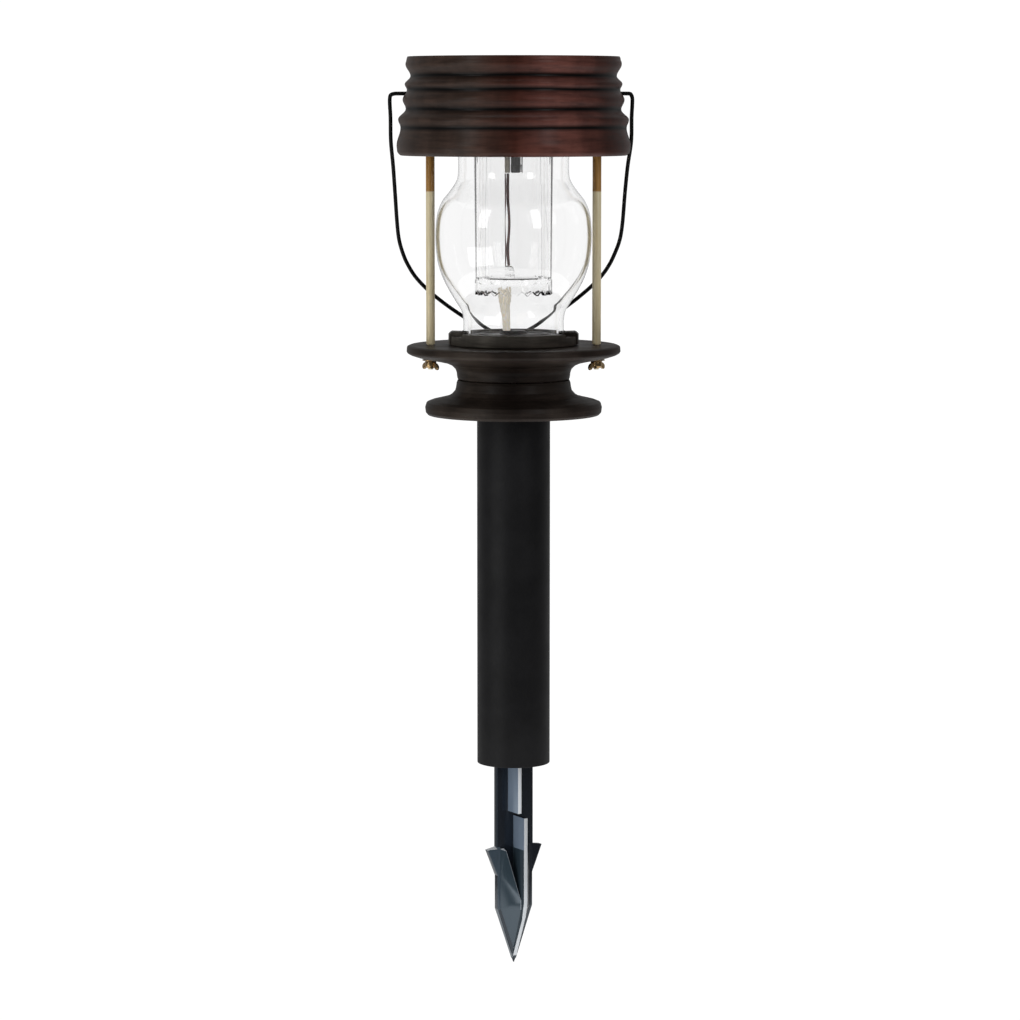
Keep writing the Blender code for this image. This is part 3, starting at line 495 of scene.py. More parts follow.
def lathe(outline, steps=FINE, at=(0.0, 0.0), closed=False, warp=None, grooves=()):
    """A mesh turned about an upright axis. warp(r, z, angle) may move a point."""
    shape = bmesh.new()
    layer = shape.verts.layers.float.new("relief")
    rings = []
    for (r, z), relief in zip(outline, relief_of(outline, grooves)):
        ring = []
        for i in range(1 if r < 1e-6 else steps):
            angle = FULL * i / steps
            radius, height = warp(r, z, angle) if warp else (r, z)
            vert = shape.verts.new(round_point(radius, angle, height, at))
            vert[layer] = relief
            ring.append(vert)
        rings.append(ring)
    for upper, lower in zip(rings, rings[1:]):
        bridge(shape, upper, lower, steps)
    if closed:
        bridge(shape, rings[-1], rings[0], steps)
    return finished(shape)


def turned_ring(section, radius=0.25, corner_steps=2, steps=FINE, at=(0.0, 0.0)):
    """A closed section with rounded corners, turned about an upright axis."""
    return lathe(rounded(section, radius, corner_steps, closed=True), steps, at, closed=True)


def finished(shape):
    """Turn a bmesh into a mesh with its faces pointing out."""
    bmesh.ops.recalc_face_normals(shape, faces=shape.faces)
    mesh = bpy.data.meshes.new("shape")
    shape.to_mesh(mesh)
    shape.free()
    return mesh


def block(low, high, bevel=0.3, segments=2, turn=0.0):
    """A box with rounded edges, turned about the Z axis through its middle."""
    shape = bmesh.new()
    bmesh.ops.create_cube(shape, size=1.0)
    size = [(b - a) * MM for a, b in zip(low, high)]
    bmesh.ops.scale(shape, vec=size, verts=shape.verts)
    if bevel:
        bmesh.ops.bevel(shape, geom=shape.edges[:], offset=bevel * MM, segments=segments,
                        affect="EDGES", profile=0.5)
    middle = Vector([(a + b) / 2.0 * MM for a, b in zip(low, high)])
    spin = Matrix.Translation(middle) @ Matrix.Rotation(turn, 4, "Z")
    bmesh.ops.transform(shape, matrix=spin, verts=shape.verts)
    return finished(shape)


def drum(radius, low, high, at=(0.0, 0.0), steps=SMALL):
    """A plain upright cylinder, for cutting."""
    return lathe([(0.0, high), (radius, high), (radius, low), (0.0, low)], steps, at)


def crossways(mesh, middle):
    """Turn an upright mesh about Y so that its axis lies along X, then move it."""
    mesh.transform(Matrix.Translation([v * MM for v in middle])
                   @ Matrix.Rotation(math.pi / 2.0, 4, "Y"))
    return mesh


def add(mesh):
    return "UNION", mesh


def cut(mesh):
    return "DIFFERENCE", mesh


def combined(base, tools, bevel=0.0):
    """Apply Boolean steps made by add and cut, and an optional edge bevel."""
    holder = bpy.data.objects.new("working_piece", base)
    bpy.context.scene.collection.objects.link(holder)
    helpers = []
    for operation, mesh in tools:
        helper = bpy.data.objects.new("working_tool", mesh)
        bpy.context.scene.collection.objects.link(helper)
        change = holder.modifiers.new("Step", "BOOLEAN")
        change.operation = operation
        change.solver = "EXACT"
        change.object = helper
        helpers.append(helper)
    if bevel:
        edge = holder.modifiers.new("Edge", "BEVEL")
        edge.width = bevel * MM
        edge.segments = 2
        edge.limit_method = "ANGLE"
        edge.angle_limit = math.radians(28.0)
        edge.harden_normals = False
    graph = bpy.context.evaluated_depsgraph_get()
    mesh = bpy.data.meshes.new_from_object(holder.evaluated_get(graph))
    for helper in helpers:
        bpy.data.objects.remove(helper)
    bpy.data.objects.remove(holder)
    return mesh


def tube(points, radius, sides=14, radii=None):
    """A round tube through points, with flat ends; radii are factors along its way."""
    curve = bpy.data.curves.new("route", "CURVE")
    curve.dimensions = "3D"
    curve.bevel_depth = radius * MM
    curve.bevel_resolution = sides // 4
    curve.use_fill_caps = True
    spline = curve.splines.new("POLY")
    spline.points.add(len(points) - 1)
    for i, point in enumerate(points):
        spline.points[i].co = (point[0] * MM, point[1] * MM, point[2] * MM, 1.0)
        if radii:
            spline.points[i].radius = radii[i]
    holder = bpy.data.objects.new("route", curve)
    bpy.context.scene.collection.objects.link(holder)
    graph = bpy.context.evaluated_depsgraph_get()
    mesh = bpy.data.meshes.new_from_object(holder.evaluated_get(graph))
    bpy.data.objects.remove(holder)
    shape = bmesh.new()
    shape.from_mesh(mesh)
    bmesh.ops.remove_doubles(shape, verts=shape.verts, dist=0.00001)
    return finished(shape)


def prism(outline, thickness, bevel=0.3):
    """A flat outline of (x, z) points made thick in Y, with rounded edges."""
    shape = bmesh.new()
    corners = [shape.verts.new((x * MM, -thickness * MM / 2.0, z * MM)) for x, z in outline]
    face = shape.faces.new(corners)
    grown = bmesh.ops.extrude_face_region(shape, geom=[face])["geom"]
    moved = [item for item in grown if isinstance(item, bmesh.types.BMVert)]
    bmesh.ops.translate(shape, vec=(0.0, thickness * MM, 0.0), verts=moved)
    bmesh.ops.recalc_face_normals(shape, faces=shape.faces)
    if bevel:
        bmesh.ops.bevel(shape, geom=shape.edges[:], offset=bevel * MM, segments=2,
                        affect="EDGES", profile=0.5)
    return finished(shape)


def joined(meshes):
    """One mesh from several closed ones."""
    shape = bmesh.new()
    for mesh in meshes:
        shape.from_mesh(mesh)
    return finished(shape)


def without_grooves(mesh):
    """Say for the bronze material's painted groove shade that a mesh has no grooves anywhere."""
    if "relief" not in mesh.attributes:
        mesh.attributes.new("relief", "FLOAT", "POINT")
    for spot in mesh.attributes["relief"].data:
        spot.value = 1.0
    return mesh


# --------------------------------------------------------------- cap and panel

CAP_WAVES = (
    (50.6, 337.8), (51.2, 335.1), (48.9, 329.5), (51.6, 325.7), (50.6, 323.0), (52.6, 318.4),
    (51.1, 314.0), (54.7, 309.1), (53.6, 305.2), (55.5, 296.5), (55.3, 294.0),
)
CAP_GROOVES = (329.5, 323.0, 314.0, 305.2)


def make_cap():
    """The ribbed cap, with slightly uneven hand-finished ribs and a recess for the panel."""
    outer = waves(CAP_WAVES, 10)
    outline = rounded([(0.0, CAP_TOP), (50.2, CAP_TOP, 1.0)], 1.0) + outer
    outline += rounded([
        (54.9, CAP_BOTTOM + 1.2, 1.5), (53.8, CAP_BOTTOM, 1.5), (52.4, CAP_BOTTOM, 0.3), (52.0, 302.4, 0.6),
        (48.8, 310.0, 0.8), (48.8, 327.0, 0.8), (46.4, 330.0, 0.8), (46.4, 334.6, 0.5), (0.0, 334.6),
    ])

    def uneven(r, z, angle):
        if r < 48.85 or z > 336.5 or z < 294.5:
            return r, z
        around = Vector((math.cos(angle), math.sin(angle), z * 0.05))
        lift = noise.noise(around * 1.3) * 0.55
        return r + noise.noise(around * 2.4) * 0.12, z + lift

    half_x = (PANEL_HIGH[0] - PANEL_LOW[0]) / 2.0 + 0.35
    recess = block((-half_x, -half_x, PANEL_LOW[2] - 0.3), (half_x, half_x, CAP_TOP + 4.0), 1.0, 3)
    pivot = crossways(drum(1.3, -60.0, 60.0), (0.0, 0.0, BAIL_AXIS))
    mesh = combined(lathe(outline, warp=uneven, grooves=CAP_GROOVES),
                    [cut(recess), cut(pivot)])
    place("cap", mesh, CAP_FINISH, "lantern", ["cap_shell"], sharp=50.0)


def make_panel():
    """The solar panel: a laminate with two rows of cells, contact fingers and a clear face."""
    low = PANEL_LOW
    high = PANEL_HIGH
    place("panel_laminate", block(low, (high[0], high[1], high[2] - 0.3), 0.4), BLACK_FINISH,
          "lantern", ["solar_panel"])
    margin = 3.0
    rows, columns = 2, 4
    wide = (high[0] - low[0] - 2 * margin) / columns
    deep = (high[1] - low[1] - 2 * margin) / rows
    top = high[2] - 0.05
    cells, fingers = [], []
    for column in range(columns):
        for row in range(rows):
            x0 = low[0] + margin + column * wide + 0.3
            y0 = low[1] + margin + row * deep + 0.3
            x1, y1 = x0 + wide - 0.6, y0 + deep - 0.6
            cells.append(block((x0, y0, top - 0.4), (x1, y1, top - 0.12), 0.05, 1))
            middle = (x0 + x1) / 2.0
            fingers.append(block((middle - 0.4, y0 + 0.4, top - 0.2), (middle + 0.4, y1 - 0.4, top),
                                 0.04, 1))
            for k in range(1, 12):
                y = y0 + (y1 - y0) * k / 12.0
                fingers.append(block((x0 + 0.5, y - 0.05, top - 0.2), (x1 - 0.5, y + 0.05, top - 0.06),
                                     0.0))
    place("panel_cells", joined(cells), CELL_FINISH, "lantern", [])
    place("panel_fingers", joined(fingers), SILVER_FINISH, "lantern", [])


FLOOR_CUT = (292.0, 298.0)     # the heights that a hole through the floor is cut between


def make_floor():
    """The cap's floor seen from below, with its cup, door frame, screw holes and button hole."""
    bottom, top = FLOOR_BOTTOM, 296.0
    cup_top = 303.0
    plate = turned_ring([
        (29.5, top, 0.8), (51.4, top), (51.4, bottom), (28.4, bottom, 0.4), (27.3, bottom + 1.0, 0.3),
        (27.3, cup_top - 2.0), (19.6, cup_top - 2.0), (19.6, cup_top), (29.5, cup_top),
    ])
    tools = [
        cut(block((-25.3, 30.9, FLOOR_CUT[0]), (25.3, 43.5, FLOOR_CUT[1]), 0.0)),
        cut(block((-9.4, 42.0, FLOOR_CUT[0]), (9.4, 44.9, FLOOR_CUT[1]), 0.0)),
        cut(drum(3.1, *FLOOR_CUT, SWITCH)),
    ]
    for side in (-1, 1):
        tools.append(add(block((min(side * 25.6, side * 27.1), 32.0, 295.5),
                                     (max(side * 25.6, side * 27.1), 42.4, 306.5), 0.0)))
        tools.append(cut(drum(1.8, *FLOOR_CUT, (side * ROD_X, 0.0))))
        tools.append(add(drum(1.8, 295.5, 298.7, (side * 11.0, -38.5), 24)))
    for i in range(1, 5):
        tools.append(cut(drum(1.7, *FLOOR_CUT, middle_of(f"cap_screw_{i}"), 24)))
    place("cap_floor_plate", combined(plate, tools), BLACK_FINISH, "lantern", ["cap_floor"])


WIDE_HEAD = 3.5                # a screw head of this radius or more is the M4 one
SCREW_PITCH = 1.1


def cross_head_screw(name, node, body, pointing_down=True):
    """A pan-head screw with a cross recess, a shank and a fine thread."""
    low, high = extent(node)
    x, y, _ = middle_of(node)
    head = (high[0] - low[0]) / 2.0
    deep, shank = (1.5, head * 0.5) if head < WIDE_HEAD else (2.3, 1.7)
    length = high[2] - low[2]
    turns = int((length - deep - 1.2) / SCREW_PITCH)
    outline = [(0.0, 0.0), (head - 0.7, 0.0), (head - 0.1, 0.45), (head, deep), (shank, deep)]
    for k in range(turns):
        start = deep + 0.4 + k * SCREW_PITCH
        outline += [(shank * 0.82, start), (shank, start + 0.35), (shank * 0.82, start + 0.7)]
    outline += [(shank * 0.6, length - 0.3), (0.0, length)]
    arm = head * 0.55
    mesh = combined(lathe(outline, 32), [cut(block((-arm, -0.35, -1.0), (arm, 0.35, 0.9), 0.0)),
                                         cut(block((-0.35, -arm, -1.0), (0.35, arm, 0.9), 0.0))])
    if pointing_down:
        spot = Matrix.Translation((x * MM, y * MM, low[2] * MM))
    else:
        spot = Matrix.Translation((x * MM, y * MM, high[2] * MM)) @ Matrix.Rotation(math.pi, 4, "X")
    mesh.transform(spot)
    place(name, mesh, STEEL_FINISH, body, [node])


def make_screws():
    for i in range(1, 5):
        cross_head_screw(f"cap_screw_fine_{i}", f"cap_screw_{i}", "lantern")
    for i in range(1, 4):
        cross_head_screw(f"base_screw_fine_{i}", f"base_screw_{i}", "lantern")
    cross_head_screw("adapter_screw_fine", "adapter_screw", "lantern")
    for end in ("front", "back"):
        cross_head_screw(f"lamp_plate_screw_fine_{end}", f"lamp_plate_screw_{end}", "lantern", False)


def make_door():
    """The battery flap, with finger grooves and its hinge barrel."""
    low, high = extent("battery_door")
    hinge_y = high[1] - 0.9
    hinge_z = next(j["pos_m"][2] for j in frame["joints"] if j["name"] == "battery_door_swing") / MM
    base = block((low[0], low[1], low[2]), (high[0], 42.6, low[2] + 1.4), 0.25)
    tools = [add(block((-9.1, 42.0, low[2] + 0.3), (9.1, hinge_y, low[2] + 1.4), 0.0)),
             add(crossways(drum(0.9, -9.1, 9.1, steps=24), (0.0, hinge_y, hinge_z)))]
    for k in range(5):
        y = low[1] + 1.6 + k * 1.1
        tools.append(cut(block((-6.0, y, low[2] - 1.0), (6.0, y + 0.5, low[2] + 0.35), 0.0)))
    place("battery_flap", combined(base, tools), BLACK_FINISH, "battery_door", ["battery_door"])


def make_button():
    """The switch's rubber button, dished underneath."""
    low, high = extent("switch_button")
    outline = rounded([(0.0, high[2]), (2.8, high[2]), (2.8, low[2], 0.8), (2.0, low[2], 0.3),
                       (1.5, low[2] + 0.4, 0.3), (0.0, low[2] + 0.4)], 0.4)
    place("switch_cap", lathe(outline, 40, SWITCH), RUBBER_FINISH, "switch_button",
          ["switch_button"])


# ---------------------------------------------------------------- lamp and glass

GLOBE_OUTSIDE = (
    (26.4, GLOBE_TOP), (26.4, 292.0), (26.4, 284.0), (27.2, 280.0), (30.3, 275.2), (34.0, 270.4),
    (36.3, 264.4), (37.1, 256.4), (37.0, 249.0), (36.1, 241.4), (34.0, 234.6), (30.9, 228.4),
    (27.4, 222.6), (24.8, 218.2), (24.0, 214.0), (24.0, 208.0), (24.0, GLOBE_BOTTOM),
)
GLASS_WALL = 1.8


def make_globe():
    """Blown glass: an outer skin and an inner skin joined at flat rims."""
    outer = smooth_path(GLOBE_OUTSIDE, 8)
    inner = offset(outer, GLASS_WALL)
    inner.reverse()
    mesh = lathe(outer + inner, FINE, closed=True)
    place("globe_glass", mesh, GLASS_FINISH, "lantern", ["globe"], sharp=60.0)
    for node, inside in (("globe_seal_top", 24.4), ("globe_seal_bottom", 21.9)):
        low, high = extent(node)
        ring = turned_ring([(inside, high[2]), (high[0], high[2]), (high[0], low[2]), (inside, low[2])],
                           0.3, 3, 96)
        place(node + "_ring", ring, RUBBER_FINISH, "lantern", [node])


GUIDE_BORE = 15.8
GUIDE_RIM = 22.6
GUIDE_LOBES = 14
FLUTE_DEPTH = 0.25
CROWN_TEETH = 21
TOOTH_HEIGHT = 3.0


def make_light_guide():
    """A clear tube with soft vertical flutes outside and a toothed crown below."""
    steps = 336
    shape = bmesh.new()
    crown_top = 233.7
    levels = [GUIDE_TOP - 1.6, 299.0, 282.0, 264.0, 248.0, crown_top + 0.6, crown_top,
              crown_top - 0.8, 230.0, GUIDE_FOOT + 1.6]

    def outside(z, angle):
        part = (z - GUIDE_FOOT) / (GUIDE_TOP - GUIDE_FOOT)
        base = 18.2 + 0.9 * part
        lobe = abs(math.sin(GUIDE_LOBES * angle / 2.0)) ** 0.5
        if z < crown_top:
            return base + 0.25
        return base - FLUTE_DEPTH * (1.0 - lobe)

    angles = [FULL * i / steps for i in range(steps)]
    rings = [ring_of(shape, GUIDE_RIM, z, steps) for z in (GUIDE_TOP, GUIDE_TOP - 1.5)]
    for z in levels:
        rings.append([shape.verts.new(round_point(outside(z, angle), angle, z)) for angle in angles])
    per_tooth = steps / CROWN_TEETH
    for radius in (18.45, 16.4):
        ring = []
        for i, angle in enumerate(angles):
            phase = (i % per_tooth) / per_tooth
            tooth = 1.0 - abs(2.0 * phase - 1.0)
            uneven = 0.75 + 0.5 * noise.noise(Vector((i // per_tooth, 3.0, 0.0)))
            z = GUIDE_FOOT + TOOTH_HEIGHT * tooth * uneven
            ring.append(shape.verts.new(round_point(radius, angle, z)))
        rings.append(ring)
    for radius, z in ((16.2, 231.4), (0.0, 231.7), (0.0, crown_top), (GUIDE_BORE - 0.8, crown_top),
                      (GUIDE_BORE, crown_top + 0.8), (GUIDE_BORE, 264.0), (GUIDE_BORE, GUIDE_TOP)):
        rings.append(ring_of(shape, radius, z, steps))
    for upper, lower in zip(rings, rings[1:]):
        bridge(shape, upper, lower, steps)
    bridge(shape, rings[-1], rings[0], steps)
    place("light_guide_tube", finished(shape), GUIDE_FINISH, "lantern", ["light_guide"],
          sharp=24.0)


def make_lamp():
    """The lamp's plate, stem, sleeve, lead and bead inside the light guide."""
    low, high = extent("lamp_plate")
    plate = rounded([(0.0, high[2]), (28.5, high[2]), (28.5, low[2]), (23.0, low[2]),
                     (23.0, 305.1), (0.0, 305.1)], 0.3)
    place("lamp_plate_disc", lathe(plate, 96), BLACK_FINISH, "lantern", ["lamp_plate"])
    low, high = extent("lamp_stem")
    x, radius = (low[0] + high[0]) / 2.0, (high[0] - low[0]) / 2.0
    stem = rounded([(0.0, high[2]), (radius, high[2]), (radius, low[2] + 4.0, 0.2),
                    (radius + 0.12, low[2] + 3.8, 0.1), (radius, low[2], 0.6), (0.0, low[2])], 0.3)
    place("lamp_stem_rod", lathe(stem, SMALL, (x, 0.0)), BLACK_FINISH, "lantern", ["lamp_stem"])
    low, high = extent("lamp_sleeve")
    x, radius = (low[0] + high[0]) / 2.0, (high[0] - low[0]) / 2.0
    sleeve = rounded([(0.0, high[2]), (radius, high[2]), (radius, low[2]), (0.0, low[2])], 0.2)
    place("lamp_sleeve_tube", lathe(sleeve, 24, (x, 0.0)), CREAM_FINISH, "lantern",
          ["lamp_sleeve"])
    lead = smooth_path(((-2.2, 0.0, 283.6), (-2.2, 0.0, 272.0), (-1.7, 0.2, 260.0),
                        (-2.2, 0.0, 248.0), (-1.9, 0.0, 240.0)), 8)
    place("lamp_lead_wire", tube(lead, 0.5), RED_FINISH, "lantern", ["lamp_lead"])
    bead = rounded([(0.0, 240.0), (1.5, 239.6, 1.0), (2.2, 237.6), (2.2, 235.2, 0.1),
                    (2.6, 235.2, 0.1), (2.6, 234.1), (0.0, 234.1)], 0.4)
    place("lamp_bead_lens", lathe(bead, 32, (-1.9, 0.0)), GUIDE_FINISH, "lantern", ["lamp_bead"])


def make_wick():
    """A twisted cotton wick of many strands, flared and frayed at the top."""
    random.seed(11)
    strands = []
    low, high = extent("wick")
    centre_line = ((-3.3, 0.0, low[2]), (-3.3, 0.0, 209.5), (-3.5, 0.0, 215.0),
                   (-3.9, 0.0, 220.0), (-4.3, 0.0, 225.0), (-4.6, 0.0, high[2] + 0.3))
    spread = (1.05, 1.15, 1.3, 1.6, 2.3, 3.0)
    for k in range(15):
        start = FULL * k / 12.0 if k < 12 else FULL * (k - 12) / 3.0
        ring = 1.0 if k < 12 else 0.4
        route, radii = [], []
        for i, ((x, y, z), wide) in enumerate(zip(centre_line, spread)):
            angle = start + i * 0.55 + random.uniform(-0.12, 0.12)
            reach = wide * ring * random.uniform(0.9, 1.08)
            shrink = random.uniform(-0.9, 0.4) if i == len(centre_line) - 1 else 0.0
            route.append((x + reach * math.cos(angle), y + reach * math.sin(angle), z + shrink))
            radii.append((0.62, 0.64, 0.68, 0.72, 0.78, 0.5)[i])
        path = smooth_path([(*p, w) for p, w in zip(route, radii)], 8)
        wobble = [1.0 + 0.16 * math.sin(j * 1.9 + k) for j in range(len(path))]
        strands.append(tube([p[:3] for p in path], 1.0, 8,
                            [p[3] * w for p, w in zip(path, wobble)]))
    place("wick_strands", joined(strands), WICK_FINISH, "lantern", ["wick"],
          sharp=80.0)


def make_burner():
    """The raised burner plate with a dark wick hole."""
    low, high = extent("burner_plate")
    outline = rounded([
        (0.0, high[2]), (5.6, high[2], 0.6), (6.8, 207.4, 0.5), (14.0, 207.1, 0.4),
        (15.0, 207.7, 0.4), (16.6, 207.7, 0.4), (17.4, 207.1, 0.4), (20.9, 207.0), (20.9, low[2]),
        (18.9, low[2]), (18.9, 205.5), (0.0, 205.5),
    ], 0.3, 3)
    mesh = combined(lathe(outline, 96), [cut(drum(3.1, 204.0, 211.0, (-3.3, 0.0), 32))])
    place("burner_disc", mesh, BASE_FINISH, "lantern", ["burner_plate"])


def arc_wall(first, last, profile, steps=40):
    """A closed body of a given section swept round the axis between two angles from the front."""
    shape = bmesh.new()
    rings = []
    for i in range(steps + 1):
        angle = math.radians(first + (last - first) * i / steps)
        rings.append([shape.verts.new((r * math.sin(angle) * MM, -r * math.cos(angle) * MM, z * MM))
                      for r, z in profile])
    count = len(profile)
    for before, after in zip(rings, rings[1:]):
        for k in range(count):
            n = (k + 1) % count
            shape.faces.new((before[k], before[n], after[n], after[k]))
    shape.faces.new(rings[0])
    shape.faces.new(rings[-1])
    return finished(shape)


def make_collar():
    """The globe's holder: a low ring, front and back walls, and hooked prongs at the sides."""
    foot = FLANGE_TOP + 0.3
    ring = turned_ring([(24.7, 206.4), (30.5, 206.4), (30.5, foot), (21.6, foot), (21.6, 203.3),
                        (24.7, 203.3)])
    place("globe_collar_ring", ring, COLLAR_FINISH, "lantern", ["globe_holder"])
    wall = rounded([(24.7, 208.0, 0.5), (30.5, 208.0, 0.7), (30.65, 202.6, 0.2), (24.6, 203.6, 0.2)],
                   0.4, 3, closed=True)
    walls = [arc_wall(-54.0, 54.0, wall), arc_wall(126.0, 234.0, wall)]
    hook = rounded([(24.7, 208.4, 0.4), (30.0, 208.5, 0.5), (31.1, 207.5, 0.6), (31.1, 202.6, 0.2),
                    (24.7, 203.6, 0.2)], 0.4, 3, closed=True)
    walls += [arc_wall(78.0, 102.0, hook, 14), arc_wall(258.0, 282.0, hook, 14)]
    place("globe_collar_walls", without_grooves(joined(walls)), COLLAR_FINISH, "lantern", [])


# --------------------------------------------------------------- rods and nuts

def make_rods():
    """Brass tie rods with threaded ends, a nut above the floor and a wing nut below."""
    for side, end in ((-1, "left"), (1, "right")):
        low, high = extent(f"tie_rod_{end}")
        at = (side * ROD_X, 0.0)
        outline = [(0.0, high[2]), (1.2, high[2])]
        outline += thread(high[2] - 0.3, 294.0, 1.5)
        outline += rounded([(1.5, 293.7), (2.1, 293.7), (2.1, FLANGE_TOP + 0.3), (1.5, FLANGE_TOP + 0.3)],
                           0.2, 3)
        outline += [(1.5, 196.3)]
        outline += thread(195.9, low[2] + 0.5, 1.5)
        outline += [(1.1, low[2]), (0.0, low[2])]
        place(f"tie_rod_fine_{end}", lathe(outline, SMALL, at), ROD_FINISH, "lantern",
              [f"tie_rod_{end}"])
        nut_low, nut_high = extent(f"rod_nut_{end}")
        place(f"rod_nut_fine_{end}", hex_nut(at, nut_low[2], nut_high[2]), STEEL_FINISH, "lantern",
              [f"rod_nut_{end}"])
        ring_low, ring_high = extent(f"rod_washer_{end}")
        ring = turned_ring([(1.8, ring_high[2]), (4.0, ring_high[2]), (4.0, ring_low[2]),
                            (1.8, ring_low[2])], 0.15, 2, SMALL, at)
        place(f"rod_washer_fine_{end}", ring, BRASS_FINISH, f"washer_{end}", [f"rod_washer_{end}"])
        wing_nut(end, side, at)


def thread(high, low, radius, pitch=0.5):
    """The outline of a fine thread between two heights."""
    turns = int((high - low) / pitch)
    outline = []
    for k in range(turns):
        z = high - k * pitch
        outline += [(radius - 0.26, z), (radius, z - pitch * 0.5)]
    return outline


def hex_nut(at, low, high):
    shape = bmesh.new()
    bmesh.ops.create_cone(shape, cap_ends=True, segments=6, radius1=3.15 * MM, radius2=3.15 * MM,
                          depth=(high - low) * MM)
    bmesh.ops.bevel(shape, geom=shape.edges[:], offset=0.2 * MM, segments=2, affect="EDGES")
    bmesh.ops.translate(shape, vec=(at[0] * MM, at[1] * MM, (low + high) / 2.0 * MM),
                        verts=shape.verts)
    return combined(finished(shape), [cut(drum(1.8, low - 2.0, high + 2.0, at))])


def wing_nut(end, side, at):
    """A forged wing nut: a domed hub and two ears that lean out and down."""
    top, foot = extent(f"wing_nut_{end}")[1][2], 191.0
    hub = rounded([(0.0, top), (2.75, top, 0.3), (2.75, foot + 0.9, 0.6), (2.0, foot, 0.6),
                   (0.0, foot)], 0.5, 4)
    tools = []
    for wing in (-1, 1):
        ear = prism((
            (1.6 * wing, top - 0.5), (3.4 * wing, top - 0.5), (5.0 * wing, top - 0.9),
            (6.1 * wing, top - 2.0), (6.3 * wing, top - 3.2), (5.6 * wing, top - 4.1),
            (4.6 * wing, top - 4.0), (3.4 * wing, top - 3.1), (1.6 * wing, top - 2.9),
        ), 1.3, 0.45)
        ear.transform(Matrix.Translation((at[0] * MM, 0.0, 0.0))
                      @ Matrix.Rotation(side * math.radians(52.0), 4, "Z"))
        tools.append(add(ear))
    tools.append(cut(drum(1.75, 182.0, 197.0, at)))
    place(f"wing_nut_fine_{end}", combined(lathe(hub, SMALL, at), tools), BRASS_FINISH,
          f"wing_nut_{end}", [f"wing_nut_{end}"])


# ------------------------------------------------------------------------ base

def make_base():
    """The spool base: a wide upper shell and a foot shell that meet at a groove in the neck."""
    upper = rounded([
        (0.0, FLANGE_TOP), (49.5, FLANGE_TOP, 1.5), (50.9, 201.4, 0.8), (51.1, 199.0, 0.8),
        (50.6, 198.2, 0.5), (49.2, 197.4, 1.0), (46.0, 196.4, 2.0), (42.2, 195.6, 2.0),
        (37.0, 194.6, 2.0), (32.4, 193.6, 1.5), (29.5, 192.3, 1.2), (27.8, 190.6, 1.0),
        (27.2, 189.0, 0.6), (27.0, 187.2, 0.4), (26.8, 186.1, 0.3), (26.4, SEAM + 0.3, 0.1),
    ], 1.0, 5)
    upper.append((24.8, SEAM + 0.3))
    cavity = rounded([(24.8, SEAM + 0.3), (24.8, 191.6), (27.4, 194.2), (33.0, 195.8), (40.0, 197.0),
                      (47.0, 198.6), (47.0, 199.4), (0.0, 199.4)], 0.4, 2)
    tools = []
    for side in (-1, 1):
        at = (side * ROD_X, 0.0)
        tools.append(add(drum(4.9, 196.05, 200.2, at)))
        tools.append(cut(drum(4.7, 190.0, 195.3, at)))
        tools.append(cut(drum(1.8, 187.0, 207.0, at)))
    shell = combined(lathe(upper + cavity[1:]), tools)
    place("base_upper_shell", shell, BASE_FINISH, "lantern", ["base_plate"],
          sharp=50.0)

    foot = turned_ring([
        (24.8, SEAM, 0.3), (26.7, SEAM, 0.4), (27.2, 184.2, 0.6), (27.5, 182.0, 0.8),
        (27.9, 180.4, 1.0), (29.6, 178.5, 1.5), (31.4, 177.5, 1.2), (34.9, 176.6, 2.0),
        (39.3, 175.6, 1.5), (41.6, 174.7, 0.9), (42.3, 172.4, 0.9), (42.0, 169.9, 0.8),
        (40.9, FOOT_BOTTOM, 0.6), (33.5, FOOT_BOTTOM, 0.2),
        (33.2, FOOT_BOTTOM + 0.5, 0.2), (31.8, FOOT_BOTTOM + 0.5, 0.2), (31.5, FOOT_BOTTOM, 0.2),
        (2.0, FOOT_BOTTOM), (2.0, 177.9), (5.5, 177.9), (5.5, 171.5), (24.8, 171.5, 0.5),
    ], 0.5, 5)
    tools = []
    for i in range(1, 4):
        at = middle_of(f"base_screw_{i}")
        tools.append(add(drum(3.9, 170.9, 174.1, at, 32)))
        tools.append(cut(drum(2.9, 162.9, 171.3, at, 32)))
        tools.append(cut(drum(1.6, 162.9, 177.9, at, 32)))
    place("base_foot_shell", combined(foot, tools), BASE_FINISH, "lantern",
          ["base_foot"], sharp=50.0)


def make_adapter():
    """The plug that enters the post, with a chamfered lead-in."""
    low, high = extent("post_adapter")
    plug = turned_ring([(2.3, high[2]), (15.7, high[2], 0.4), (15.7, low[2] + 1.5, 0.6),
                        (14.8, low[2], 0.5), (13.2, low[2], 0.3), (13.2, 164.9), (2.3, 164.9)], 0.3, 3, 128)
    place("post_plug", plug, BLACK_FINISH, "lantern", ["post_adapter"])


# ------------------------------------------------------------------------ bail

BAIL_LENGTH = 125.4
BAIL_WIRE = 0.95
BAIL_SIDE = (                  # half width, drop below the pivots, and shift to the left
    (45.6, 0.0, 0.0), (49.0, 0.0, 0.0), (53.6, 0.0, -0.4), (55.8, 0.1, -0.8), (57.0, 0.8, -1.2),
    (57.5, 2.6, -1.2), (57.5, 6.0, -1.2), (57.3, 12.0, -1.2), (57.3, 24.0, -1.2),
    (56.1, 36.5, -1.5), (55.2, 50.0, -1.7), (54.3, 66.0, -1.8), (53.2, 75.0, -2.0),
    (50.8, 82.9, -2.3), (48.5, 88.1, -2.4), (45.3, 93.4, -2.6), (40.8, 98.7, -2.8),
    (35.3, 104.0, -2.9), (29.0, 109.3, -2.9), (22.0, 114.6, -2.8), (15.0, 119.3, -2.7),
    (8.5, 122.9, -2.6), (3.0, 125.0, -2.5), (0.0, BAIL_LENGTH, -2.5),
)


